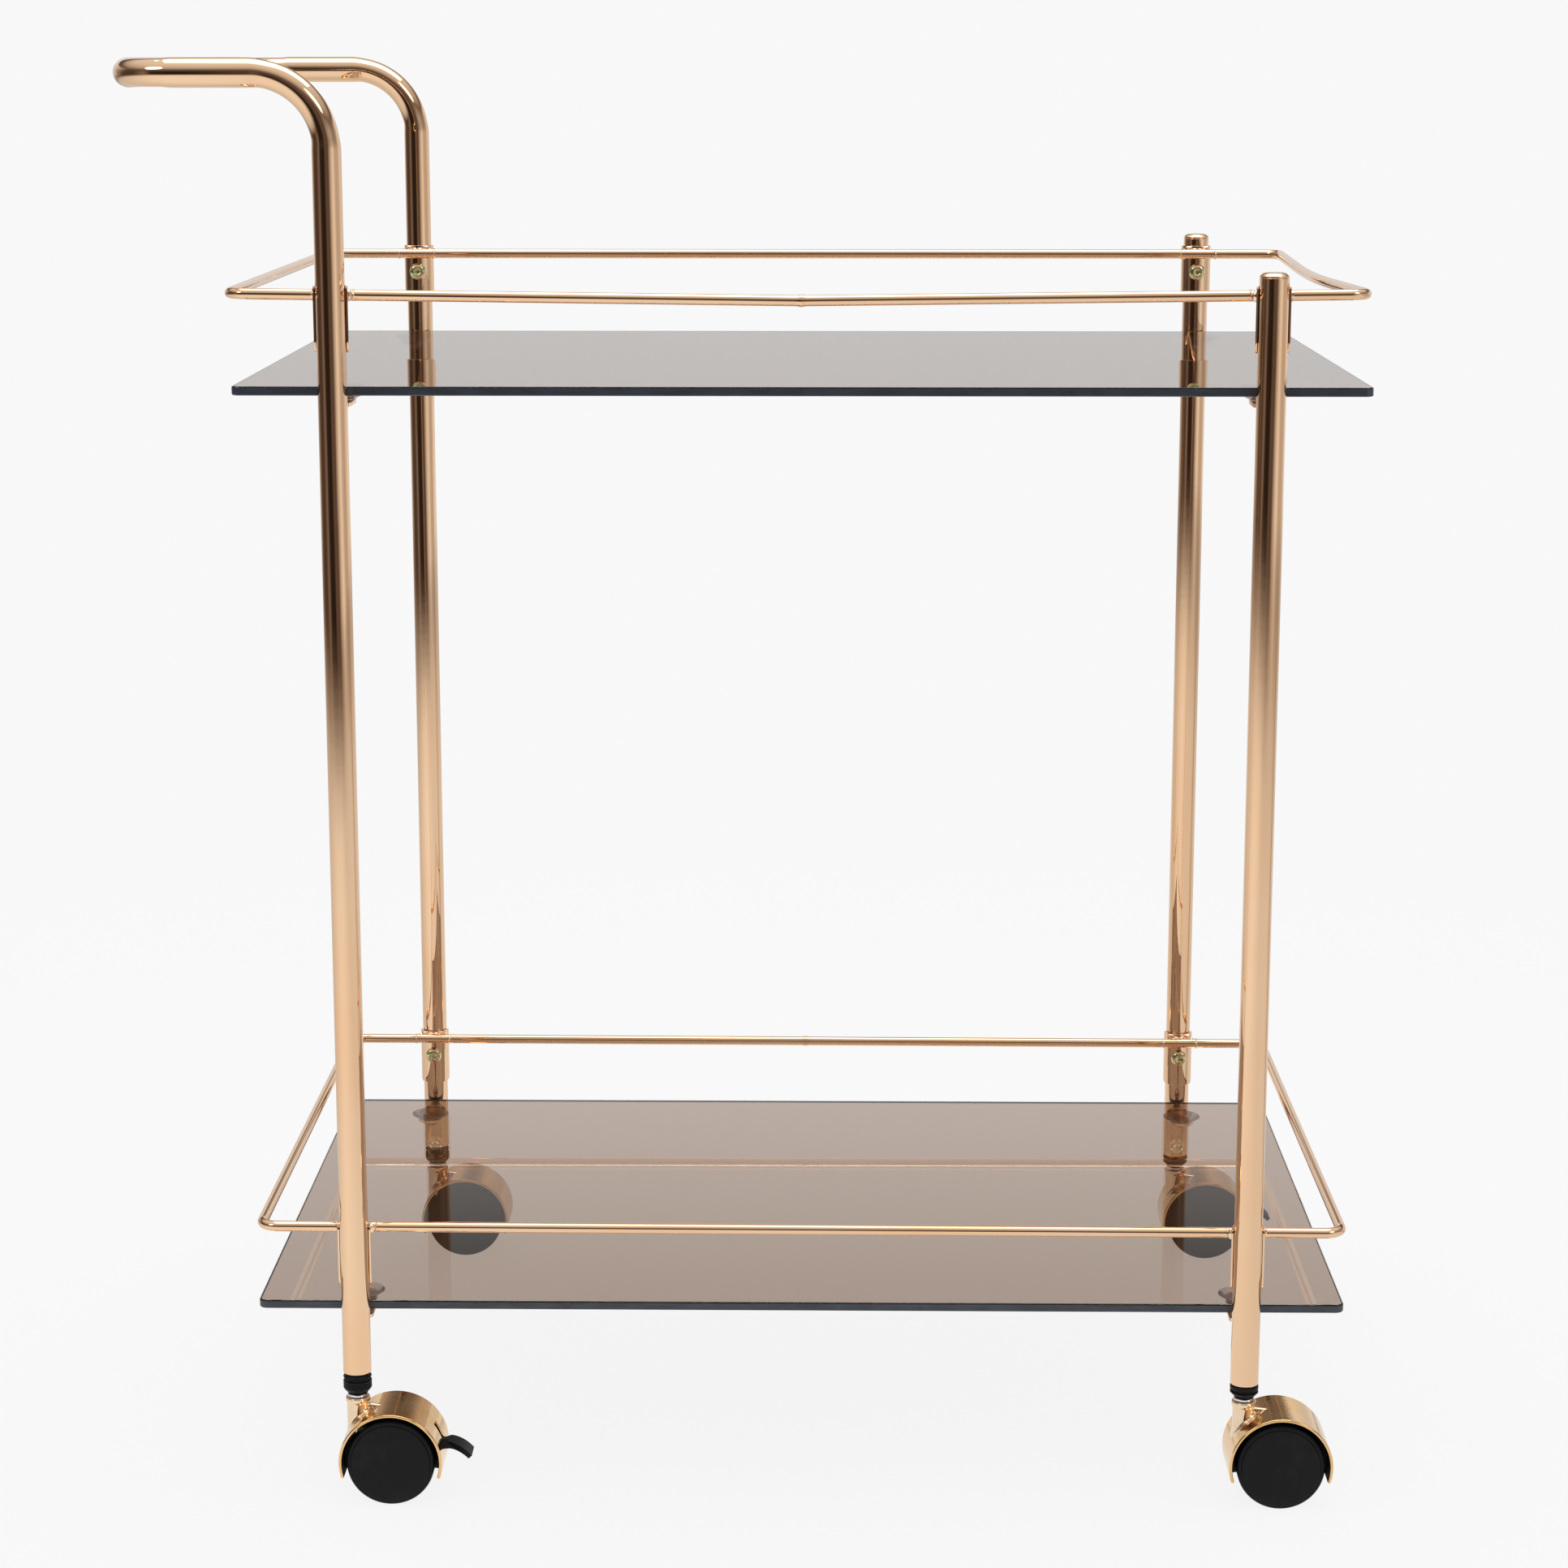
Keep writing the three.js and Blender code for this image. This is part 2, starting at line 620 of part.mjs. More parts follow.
// The room in which the brake lever swings, from its pivot out through the hood.
function brakePocket() {
  const half = LEVER_HALF + SLOT_PLAY;
  const outline = [
    [PIVOT_X, PIVOT_Z - 4.6],
    [HOOD_R + 2, PIVOT_Z - 2.3],
    [HOOD_R + 4, PIVOT_Z + 5],
    [HOOD_R - 2, PIVOT_Z + 13.8],
    [PIVOT_X - 2.3, PIVOT_Z + 4.2],
  ];
  const swing = solid(pushedAcross(outline, half));
  const round = solid(rodAcross(LEVER_EYE_R + 1.2, -half, half, 12));
  return swing.add(round.translate([PIVOT_X, 0, PIVOT_Z]));
}

// Hood, web and stem boss in one casting. Zero is the middle of the axle, the boss is towards -X.
function casterBody(braked) {
  const bossTop = BOSS_TOP - WHEEL_R;
  const bossBottom = SHANK_BOTTOM - WHEEL_R - 1;
  const lip = BOSS_LIP_R - BOSS_R;
  const boss = solid(turned([
    [0, bossBottom],
    [BOSS_R, bossBottom],
    [BOSS_R, bossTop - BOSS_LIP_HEIGHT - lip],
    [BOSS_LIP_R, bossTop - BOSS_LIP_HEIGHT],
    [BOSS_LIP_R, bossTop - lip],
    [BOSS_R, bossTop],
    [0, bossTop],
  ], 12)).translate([-TRAIL, 0, 0]);
  const gussetOutline = [[-TRAIL + 2, 20], [-4, 20], [-4, 28], [-TRAIL + 2, bossTop - 3]];
  const gusset = solid(pushedAcross(gussetOutline, GUSSET_HALF));
  const wheelRoom = solid(rodAcross(HOOD_R - HOOD_WALL / 2, -HOOD_HALF_WIDTH, HOOD_HALF_WIDTH, 24));
  const boreR = SHANK_R + GAP;
  const bore = solid(turned([
    [0, bossBottom + 0.5],
    [boreR, bossBottom + 0.5],
    [boreR, bossTop - 3],
    [RECESS_R, bossTop - 1.6],
    [RECESS_R, bossTop + CLEAR],
    [0, bossTop + CLEAR],
  ], 10)).translate([-TRAIL, 0, 0]);
  let body = boss.add(gusset).subtract(wheelRoom)
    .add(solid(pushedAcross(hoodOutline(), HOOD_HALF_WIDTH, 20)))
    .add(solid(pushedAcross(webOutline(), WEB_HALF, 10)))
    .subtract(bore)
    .subtract(solid(rodAcross(AXLE_R + GAP, -WEB_HALF - CLEAR, WEB_HALF + CLEAR, 12)));
  if (braked) {
    const pinHole = solid(rodAcross(PIN_R + GAP, -WEB_HALF - CLEAR, WEB_HALF + CLEAR, 10));
    body = body.subtract(brakePocket()).subtract(pinHole.translate([PIVOT_X, 0, PIVOT_Z]));
  }
  return body;
}

// One wheel of a pair, its plain outer face towards +Z. Zero is the caster's middle plane.
function wheel() {
  const boreR = AXLE_R + GAP;
  return solid(turned([
    [0, WHEEL_OUTER],
    [WHEEL_R - 2.6, WHEEL_OUTER],
    [WHEEL_R - 2, WHEEL_OUTER - 0.9],
    [WHEEL_R, WHEEL_OUTER - 1.2],
    [WHEEL_R, WHEEL_INNER],
    [boreR, WHEEL_INNER],
    [boreR, AXLE_HALF + GAP],
    [0, AXLE_HALF + GAP],
  ], 20));
}

// The lever runs from its pivot through the slot in the hood and widens to a curved paddle.
function brakeLever() {
  const side = new THREE.Shape();
  side.moveTo(PIVOT_X, PIVOT_Z + LEVER_EYE_R);
  side.absarc(PIVOT_X, PIVOT_Z, LEVER_EYE_R, Math.PI / 2, 1.5 * Math.PI, false);
  side.lineTo(30, 3.6);
  side.quadraticCurveTo(38.5, 3.4, LEVER_REACH - 1.9, -1.6);
  side.lineTo(LEVER_REACH, 0.2);
  side.quadraticCurveTo(39.5, 8.2, 29, 9);
  side.closePath();
  const halfPlan = [
    [PIVOT_X - LEVER_EYE_R - CLEAR, LEVER_HALF],
    [PADDLE_START - 2, LEVER_HALF],
    [PADDLE_START, PADDLE_START_HALF],
    [LEVER_REACH + CLEAR, PADDLE_TIP_HALF],
  ];
  const otherHalf = halfPlan.map(([x, y]) => [x, -y]).reverse();
  const hole = solid(rodAcross(PIN_R + GAP, -LEVER_HALF - CLEAR, LEVER_HALF + CLEAR, 10));
  return solid(pushedAcross(side, PADDLE_TIP_HALF + CLEAR, 5))
    .intersect(solid(pushed([...halfPlan, ...otherHalf], -12, 12)))
    .subtract(hole.translate([PIVOT_X, 0, PIVOT_Z]));
}

function addCaster(side, end, x, y) {
  const where = `${side}_${end}`;
  const braked = where === 'front_left' || where === 'rear_right';
  const left = end === 'left';
  addPiece(cart, `socket_plug_${where}`, socketPlug(left ? LEFT_TUBE_END : RIGHT_TUBE_END, left ? 3 : 2),
    blackNylon(), [x, y, 0]);
  addPiece(cart, `caster_stem_${where}`, casterStem(), brightSteel(), [x, y, 0]);
  addPiece(cart, `grip_ring_${where}`, gripRing(), brightSteel(), [x, y, GRIP_RING_Z]);

  const caster = new THREE.Group();
  caster.position.set(x + TRAIL, y, WHEEL_R);
  cart.add(caster);
  addPiece(caster, `caster_body_${where}`, casterBody(braked), rosePlating());
  addPiece(caster, `axle_${where}`, solid(rodAcross(AXLE_R, -AXLE_HALF, AXLE_HALF, 12)), brightSteel());
  addPiece(caster, `wheel_${where}_outer`, wheel().rotate([90 * -y / Math.abs(y), 0, 0]), blackNylon());
  addPiece(caster, `wheel_${where}_inner`, wheel().rotate([90 * y / Math.abs(y), 0, 0]), blackNylon());
  if (braked) {
    addPiece(caster, `brake_lever_${where}`, brakeLever(), blackNylon());
    addPiece(caster, `brake_pin_${where}`, solid(rodAcross(PIN_R, -WEB_HALF + 0.2, WEB_HALF - 0.2, 10)),
      brightSteel(), [PIVOT_X, 0, PIVOT_Z]);
  }
}

for (const { side, sign: depthwise } of SIDES) {
  for (const { end, sign: lengthwise } of ENDS) {
    addCaster(side, end, lengthwise * POST_X, depthwise * POST_Y);
  }
}

export default cart;
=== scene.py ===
"""Finishes the bar cart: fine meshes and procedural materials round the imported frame, and a studio."""

import math

import bmesh
import bpy
from mathutils import Matrix, Vector, noise


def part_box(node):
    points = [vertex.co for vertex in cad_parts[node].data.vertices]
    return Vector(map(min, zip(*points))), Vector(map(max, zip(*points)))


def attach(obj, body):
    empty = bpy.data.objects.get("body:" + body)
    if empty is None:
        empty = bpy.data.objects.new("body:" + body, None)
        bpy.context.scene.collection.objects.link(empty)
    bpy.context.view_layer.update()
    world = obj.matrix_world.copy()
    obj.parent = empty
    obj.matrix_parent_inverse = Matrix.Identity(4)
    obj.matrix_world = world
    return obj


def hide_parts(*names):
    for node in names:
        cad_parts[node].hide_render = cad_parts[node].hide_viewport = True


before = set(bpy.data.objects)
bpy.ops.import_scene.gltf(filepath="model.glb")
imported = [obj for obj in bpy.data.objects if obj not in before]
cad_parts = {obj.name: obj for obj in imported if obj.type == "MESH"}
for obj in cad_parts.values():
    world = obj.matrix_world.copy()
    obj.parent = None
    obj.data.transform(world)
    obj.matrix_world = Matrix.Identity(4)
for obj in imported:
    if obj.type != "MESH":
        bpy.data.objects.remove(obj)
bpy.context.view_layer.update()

bl_info = {
    "name": "Bar Cart",
    "version": (1, 0, 0),
    "blender": (4, 5, 0),
    "location": "3D View > Sidebar > Bar Cart",
    "description": "Builds a two-shelf glass bar cart with a bent tube frame and hooded casters",
    "category": "Add Mesh",
}

MM = 0.001
ENDS = ("left", "right")
SIDES = ("front", "rear")
LEVELS = ("upper", "lower")
CORNERS = [f"{side}_{end}" for side in SIDES for end in ENDS]
BRAKED = ("front_left", "rear_right")


# ---- Places, read from the frame, in millimetres --------------------------------------------------


def node_box(node):
    """Lowest and highest corner of a node, in millimetres."""
    low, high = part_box(node)
    return Vector(low) / MM, Vector(high) / MM


def node_middle(node):
    low, high = node_box(node)
    return (low + high) / 2


def post_axis(corner):
    """Where a post's axis meets the floor. The socket plug is turned about it."""
    middle = node_middle(f"socket_plug_{corner}")
    return Vector((middle.x, middle.y, 0))


def inward(corner):
    """+1 where the middle of the cart lies towards +Y of a post, -1 where it lies towards -Y."""
    return 1 if corner.startswith("front") else -1


TUBE_R = (node_box("right_post_front")[1].x - node_box("right_post_front")[0].x) / 2
ROD_R = 3.0
AXLE_R = 3.0
SADDLE_ABOVE_ROD = 5.0
SADDLE_BELOW_ROD = 31.0
SCREW_BELOW_ROD = 11.6
HOOD_R = (node_box("caster_body_front_left")[1].x - node_box("caster_body_front_left")[0].x) / 2
HOOD_HALF = (node_box("caster_body_front_left")[1].y - node_box("caster_body_front_left")[0].y) / 2
HOOD_DROP = math.radians(18)
WHEEL_R = node_box("wheel_front_left_outer")[1].z / 2
CUP_INWARD = 35.0
CAP_DOME = 3.1
CUP_BELOW_TAB = 5.6
TAB_DROP = node_box("lower_shelf")[0].z - node_box("lower_cup_front_left")[0].z - CUP_BELOW_TAB


def rod_height(level):
    return node_box(f"{level}_rail")[1].z - SADDLE_ABOVE_ROD


# ---- Settings that a user would change ------------------------------------------------------------


def length(name, default, description):
    return bpy.props.FloatProperty(
        name=name, default=default * MM, min=0, unit="LENGTH", subtype="DISTANCE",
        precision=5, description=description)


def colour(name, default, description):
    return bpy.props.FloatVectorProperty(
        name=name, default=default, size=3, min=0, max=1, subtype="COLOR", description=description)


class CartShape(bpy.types.PropertyGroup):
    """Sizes of the fine shapes that the frame leaves open."""

    tube_wall: length("Tube wall", 1.2, "Thickness of the tube's wall")
    post_bend: length("Post bend", 40, "Radius of the bend from a left post to the handle")
    handle_bend: length("Handle bend", 28, "Radius of the bend from the handle's side to its crossbar")
    rail_bend: length("Rail bend", 10, "Radius of the guard rail's corners")
    rail_sag: length("Rail sag", 3.6, "How far the front of the upper rail dips at its weld")
    rail_bow: length("Rail bow", 5.5, "How far the right side of the upper rail is pushed inward")
    rail_dip: length("Rail dip", 3.0, "How far the right side of the upper rail is pushed down")
    rail_tilt: length("Rail tilt", 0.8, "How low the lower rail's right end is, and how high its left end")
    bend_pinch: length("Bend pinch", 0.55, "How much thinner the tube is in its bends")
    saddle_wall: length("Saddle wall", 1.1, "Thickness of the half sleeves on the rails")
    weld: length("Weld bead", 2.0, "Radius of the weld beads")
    arris: length("Glass arris", 0.7, "Width of the polished bevel on the glass")
    glass_corner: length("Glass corner", 5, "Radius of the glass shelves' corners")
    hood_wall: length("Hood wall", 1.8, "Thickness of a caster's hood")


class CartFinish(bpy.types.PropertyGroup):
    """Colours of the cart's materials."""

    plating: colour("Plating", (0.90, 0.585, 0.355), "Rose-gold plating")
    plating_pale: colour("Pale plating", (0.92, 0.63, 0.405), "Rose-gold plating where it is thin")
    hood_plating: colour("Hood plating", (0.86, 0.52, 0.21), "Yellower plating of the casters' hoods")
    hood_plating_pale: colour("Pale hood plating", (0.89, 0.61, 0.32), "Hood plating where it is thin")
    # boss_plating_painted_highlight: paler, almost silver colour of the bosses, a painted reflection of white
    # surroundings
    boss_plating_painted_highlight: colour("Boss plating", (0.93, 0.79, 0.66), "Thin plating round the casters' bosses")
    # casting: near-black paint inside the hood and on the web between the wheels, which is painted shade
    casting: colour("Casting", (0.02, 0.019, 0.018), "Unplated inside of the casters")
    glass: colour("Glass", (0.535, 0.36, 0.23), "Tint that the smoked glass takes on with depth")
    glass_edge: colour("Glass edge", (0.036, 0.042, 0.056), "Ground edge of the glass")
    vinyl: colour("Vinyl", (0.93, 0.89, 0.86), "Clear vinyl of the cups")
    zinc: colour("Zinc", (0.72, 0.65, 0.36), "Yellow zinc of the screws")
    steel: colour("Steel", (0.72, 0.73, 0.75), "Bright plated steel of the caster stems")
    nylon: colour("Nylon", (0.0055, 0.0055, 0.0065), "Black nylon of the wheels and plugs")


class CartStudio(bpy.types.PropertyGroup):
    """The camera and the light."""

    camera_place: bpy.props.FloatVectorProperty(
        name="Camera", default=(0.0432, -2.1277, 0.8103), size=3, unit="LENGTH",
        subtype="TRANSLATION", description="Where the camera stands")
    camera_pitch: bpy.props.FloatProperty(
        name="Pitch", default=0.2024, unit="ROTATION", subtype="ANGLE",
        description="How far the camera looks down")
    camera_yaw: bpy.props.FloatProperty(
        name="Yaw", default=0.0136, unit="ROTATION", subtype="ANGLE",
        description="How far the camera looks to the left")
    lens: bpy.props.FloatProperty(
        name="Lens", default=81.59, unit="CAMERA", description="Focal length on a 36 mm sensor")
    brightness: bpy.props.FloatProperty(
        name="Brightness", default=0.94, min=0, description="How bright the pale surroundings are")


# ---- Shader expressions ---------------------------------------------------------------------------


class Wire:
    """A shader socket that takes part in Python arithmetic."""

    def __init__(self, shader, socket):
        self.shader = shader
        self.socket = socket

    def _math(self, operation, *values):
        sockets = dict(enumerate(values))
        return self.shader.node("ShaderNodeMath", {"operation": operation}, sockets)

    def __add__(self, other):
        return self._math("ADD", self, other)

    __radd__ = __add__

    def __sub__(self, other):
        return self._math("SUBTRACT", self, other)

    def __rsub__(self, other):
        return self._math("SUBTRACT", other, self)

    def __mul__(self, other):
        return self._math("MULTIPLY", self, other)

    __rmul__ = __mul__

    def __truediv__(self, other):
        return self._math("DIVIDE", self, other)

    def __pow__(self, other):
        return self._math("POWER", self, other)

    def __abs__(self):
        return self._math("ABSOLUTE", self)


class Shader:
    """A node tree that is filled by expressions."""

    def __init__(self, tree):
        self.tree = tree
        tree.nodes.clear()

    def node(self, kind, settings=None, sockets=None, output=0):
        """Makes a node, gives it its settings, then its sockets, and returns one output."""
        made = self.tree.nodes.new(kind)
        for key, value in (settings or {}).items():
            if key == "stops":
                self._set_stops(made.color_ramp, value)
            else:
                setattr(made, key, value)
        for key, value in (sockets or {}).items():
            if isinstance(value, Wire):
                self.tree.links.new(value.socket, made.inputs[key])
            else:
                made.inputs[key].default_value = value
        return Wire(self, made.outputs[output]) if made.outputs else None

    @staticmethod
    def _set_stops(ramp, stops):
        while len(ramp.elements) < len(stops):
            ramp.elements.new(0.5)
        for element, (position, shade) in zip(ramp.elements, stops):
            element.position = position
            rgb = shade if isinstance(shade, tuple) else (shade, shade, shade)
            element.color = (*rgb, 1)

    def ramp(self, value, stops):
        return self.node("ShaderNodeValToRGB", {"stops": stops}, {"Fac": value})

    def span(self, value, low, high, to_low=0.0, to_high=1.0):
        """Maps low..high to to_low..to_high and holds the ends."""
        return self.node("ShaderNodeMapRange", None, {
            "Value": value, "From Min": low, "From Max": high, "To Min": to_low, "To Max": to_high})

    def parts(self, vector):
        """The X, Y and Z of a vector."""
        return [self.node("ShaderNodeSeparateXYZ", None, {"Vector": vector}, axis) for axis in "XYZ"]

    def largest(self, first, second):
        return self.node("ShaderNodeMath", {"operation": "MAXIMUM"}, {0: first, 1: second})

    def lighten(self, rgb, amount):
        """Adds the same amount to all three parts of a colour."""
        return self.node("ShaderNodeVectorMath", None, {0: rgb, 1: amount})

    def dim(self, rgb, amount):
        """Multiplies all three parts of a colour by the same amount."""
        return self.node("ShaderNodeVectorMath", {"operation": "MULTIPLY"}, {0: rgb, 1: amount})

    def blend(self, amount, first, second):
        """Mixes two colours."""
        return self.node("ShaderNodeMix", {"data_type": "RGBA"}, {0: amount, 6: first, 7: second}, 2)

    def place(self, scale=(1, 1, 1), wrap=False):
        """The object's own coordinates, or the coordinates wrapped round a tube."""
        name = "UV" if wrap else "Object"
        source = self.node("ShaderNodeTexCoord", None, None, name)
        return self.node("ShaderNodeMapping", None, {"Vector": source, "Scale": scale})

    def speckle(self, scale, detail=3.0, stretch=(1, 1, 1), wrap=False, roughness=0.5):
        return self.node("ShaderNodeTexNoise", None, {
            "Vector": self.place(stretch, wrap), "Scale": scale, "Detail": detail,
            "Roughness": roughness})

    def bump(self, height, strength, distance):
        return self.node("ShaderNodeBump", None, {
            "Height": height, "Strength": strength, "Distance": distance})


def opaque(rgb):
    return (*rgb, 1.0)


def new_material(name, build, depth=None):
    """A material whose surface is the Principled shader that build describes as socket values.

    depth is the colour and density of what the light passes through inside. The frame brings plain
    materials of its own, so the finished ones have a name of their own.
    """
    name = f"finished_{name}"
    material = bpy.data.materials.get(name)
    if material:
        return material
    material = bpy.data.materials.new(name)
    material.use_nodes = True
    shader = Shader(material.node_tree)
    ends = {"Surface": shader.node("ShaderNodeBsdfPrincipled", None, build(shader))}
    if depth:
        rgb, density = depth
        absorbed = {"Color": opaque(rgb), "Density": density}
        ends["Volume"] = shader.node("ShaderNodeVolumeAbsorption", None, absorbed)
    shader.node("ShaderNodeOutputMaterial", None, ends)
    return material


def finish():
    return bpy.context.scene.cart_finish


def shape(name):
    """A setting of the fine shapes, in millimetres."""
    return getattr(bpy.context.scene.cart_shape, name) / MM


# ---- Materials ------------------------------------------------------------------------------------


def rose_plating(wrap=False):
    """Mirror plating with cloudy colour, wipe marks and the polisher's lines along a tube."""
    def build(s):
        cloud = s.speckle(9, 2)
        smear = s.speckle(38, 5, (1, 1, 0.35), roughness=0.62)
        if wrap:
            lines = s.speckle(90, 2, (1, 0.06, 1), wrap=True)
        else:
            lines = s.speckle(420, 2)
        peel = s.speckle(160, 1)
        tint = s.span(cloud, 0.35, 0.65)
        relief = lines * 0.35 + peel
        return {
            "Base Color": s.blend(tint, opaque(finish().plating), opaque(finish().plating_pale)),
            "Metallic": 1.0,
            "Roughness": s.span(smear, 0.35, 0.8, 0.012, 0.055),
            "Normal": s.bump(relief, 0.015 if wrap else 0.03, 0.0004),
        }
    return new_material("rose_plating_drawn" if wrap else "rose_plating_cast", build)


def weld_plating_painted_highlight():
    """The same plating over the ripples of a weld, painted paler towards pinkish white: a painted highlight
    on the beads.
    """
    def build(s):
        ripple = s.speckle(700, 3)
        return {
            # the pinkish-white colour is painted highlight
            "Base Color": s.blend(ripple, opaque(finish().plating_pale), (0.94, 0.80, 0.66, 1)),
            "Metallic": 1.0,
            "Roughness": s.span(ripple, 0.3, 0.7, 0.06, 0.18),
            "Normal": s.bump(ripple, 0.35, 0.0006),
        }
    return new_material("rose_plating_weld", build)


def hood_plating():
    """Plating over a die casting: yellower, with a soft ripple from the casting under it."""
    def build(s):
        cloud = s.speckle(60, 3)
        peel = s.speckle(240, 2)
        return {
            "Base Color": s.blend(s.span(cloud, 0.38, 0.7), opaque(finish().hood_plating),
                                  opaque(finish().hood_plating_pale)),
            "Metallic": 1.0,
            "Roughness": s.span(cloud, 0.3, 0.7, 0.05, 0.13),
            "Normal": s.bump(peel, 0.10, 0.0004),
        }
    return new_material("rose_plating_hood", build)


def boss_plating_painted_highlight():
    """Plating on the boss and round its root, over a lumpy casting, painted paler and almost silver: a
    painted reflection of white surroundings.
    """
    def build(s):
        lumps = s.speckle(300, 2)
        return {
            # the pale, almost silver colour is a painted reflection
            "Base Color": s.blend(lumps, opaque(finish().boss_plating_painted_highlight), opaque(finish().hood_plating_pale)),
            "Metallic": 1.0,
            "Roughness": s.span(lumps, 0.3, 0.7, 0.06, 0.16),
            "Normal": s.bump(lumps, 0.08, 0.0005),
        }
    return new_material("rose_plating_boss", build)


def dark_casting():
    """Near-black paint on the inside of the hood and on the web between the wheels: painted shade for those
    hollows.
    """
    def build(s):
        grain = s.speckle(900, 4)
        return {
            # the near-black colour is painted shade
            "Base Color": opaque(finish().casting),
            "Metallic": 0.6,
            "Roughness": s.span(grain, 0.3, 0.7, 0.5, 0.75),
            "Normal": s.bump(grain, 0.3, 0.0004),
        }
    return new_material("dark_casting", build)


def smoked_glass():
    """Clear at the surface with the faintest wipe marks, and brown-grey with depth."""
    def build(s):
        wipe = s.speckle(14, 4, (1, 0.3, 1), roughness=0.6)
        return {
            "Base Color": (1, 1, 1, 1),
            "Roughness": s.span(wipe, 0.5, 0.85, 0.0, 0.006),
            "IOR": 1.52,
            "Transmission Weight": 1.0,
        }
    return new_material("smoked_glass", build, (finish().glass, 200))


def ground_edge():
    """The ground edge, where one looks along the pane: almost black, with a blue cast."""
    def build(s):
        depth = s.speckle(60, 3, (1, 1, 4))
        deep = tuple(c * 0.6 for c in finish().glass_edge)
        return {
            "Base Color": s.blend(s.span(depth, 0.35, 0.65), opaque(finish().glass_edge), opaque(deep)),
            "Roughness": s.span(depth, 0.3, 0.7, 0.12, 0.3),
            "IOR": 1.52,
        }
    return new_material("ground_edge", build)


def clear_vinyl():
    """Soft clear vinyl, a little milky, with flow marks."""
    def build(s):
        flow = s.speckle(180, 3)
        return {
            "Base Color": opaque(finish().vinyl),
            "Roughness": s.span(flow, 0.3, 0.7, 0.10, 0.24),
            "IOR": 1.45,
            "Transmission Weight": 0.92,
            "Normal": s.bump(flow, 0.2, 0.0005),
        }
    return new_material("clear_vinyl", build)


def yellow_zinc():
    """Passivated zinc: straw yellow that drifts to green and pink."""
    def build(s):
        drift = s.speckle(260, 2)
        rgb = finish().zinc
        pink = (rgb[0] * 1.1, rgb[1] * 0.86, rgb[2] * 1.05)
        green = (rgb[0] * 0.84, rgb[1] * 1.02, rgb[2] * 0.9)
        grain = s.speckle(2600, 2)
        return {
            "Base Color": s.ramp(drift, [(0.36, green), (0.5, tuple(rgb)), (0.66, pink)]),
            "Metallic": 1.0,
            "Roughness": s.span(grain, 0.3, 0.7, 0.12, 0.24),
            "Normal": s.bump(grain, 0.08, 0.0001),
        }
    return new_material("yellow_zinc", build)


def bright_steel():
    """Turned steel under bright plating."""
    def build(s):
        lines = s.speckle(500, 2, (0.2, 0.2, 6))
        pale = tuple(min(1.0, c * 1.15) for c in finish().steel)
        return {
            "Base Color": s.blend(lines, opaque(finish().steel), opaque(pale)),
            "Metallic": 1.0,
            "Roughness": s.span(lines, 0.3, 0.7, 0.09, 0.2),
            "Normal": s.bump(lines, 0.1, 0.0001),
        }
    return new_material("bright_steel", build)


def black_nylon():
    """Moulded black nylon with a fine grain and scuffs that catch the light."""
    def build(s):
        grain = s.speckle(1500, 3)
        scuff = s.speckle(55, 5, (1, 1, 1), roughness=0.7)
        worn = s.span(scuff, 0.5, 0.78)
        scuffed = tuple(c * 1.8 + 0.002 for c in finish().nylon)
        return {
            "Base Color": s.blend(worn, opaque(finish().nylon), opaque(scuffed)),
            "Roughness": s.span(grain + worn * 0.5, 0.3, 1.0, 0.34, 0.52),
            "IOR": 1.5,
            "Specular IOR Level": 0.16,
            "Normal": s.bump(grain, 0.10, 0.0002),
        }
    return new_material("black_nylon", build)


# ---- Mesh code, in millimetres --------------------------------------------------------------------


def filleted(points, radius, steps=8, closed=False):
    """The points of a line with every corner rounded by an arc. radius may be one for each corner."""
    points = [Vector(p) for p in points]
    count = len(points)
    radii = radius if isinstance(radius, (list, tuple)) else [radius] * count
    result = []
    for i, corner in enumerate(points):
        if not closed and i in (0, count - 1):
            result.append(corner)
            continue
        before, after = points[i - 1] - corner, points[(i + 1) % count] - corner
        along, onward = -before.normalized(), after.normalized()
        turn = along.angle(onward, 0.0)
        if turn < 1e-4 or radii[i] <= 0:
            result.append(corner)
            continue
        reach = min(radii[i] * math.tan(turn / 2), before.length * 0.499, after.length * 0.499)
        true_radius = reach / math.tan(turn / 2)
        side = (onward - along * math.cos(turn)).normalized()
        start = corner - along * reach
        for k in range(steps + 1):
            a = turn * k / steps
            result.append(start + along * true_radius * math.sin(a) + side * true_radius * (1 - math.cos(a)))
    return result


def flat(points, level=0.0):
    """Two-number points as three-number ones."""
    return [Vector((x, y, level)) for x, y in points]


def directions(path, closed):
    """The direction of travel at each point of a path."""
    count = len(path)
    result = []
    for i in range(count):
        ahead = path[(i + 1) % count] if closed or i < count - 1 else path[i]
        behind = path[i - 1] if closed or i > 0 else path[i]
        result.append((ahead - behind).normalized())
    return result


def ring_points(centre, side, up, radius, sides):
    angles = [2 * math.pi * k / sides for k in range(sides)]
    return [centre + (side * math.cos(angle) + up * math.sin(angle)) * radius for angle in angles]


def bridge(bm, rings, closed, uv, heights):
    """Quads between rings of corners, with u once round a ring and v the height of each ring."""
    sides = len(rings[0])
    pairs = len(rings) if closed else len(rings) - 1
    for i in range(pairs):
        low, high = rings[i], rings[(i + 1) % len(rings)]
        v_low = heights[i]
        v_high = heights[i + 1] if i + 1 < len(heights) else heights[i]
        for k in range(sides):
            n = (k + 1) % sides
            face = bm.faces.new((low[k], low[n], high[n], high[k]))
            u_low, u_high = k / sides, (k + 1) / sides
            values = ((u_low, v_low), (u_high, v_low), (u_high, v_high), (u_low, v_high))
            for loop, value in zip(face.loops, values):
                loop[uv].uv = value


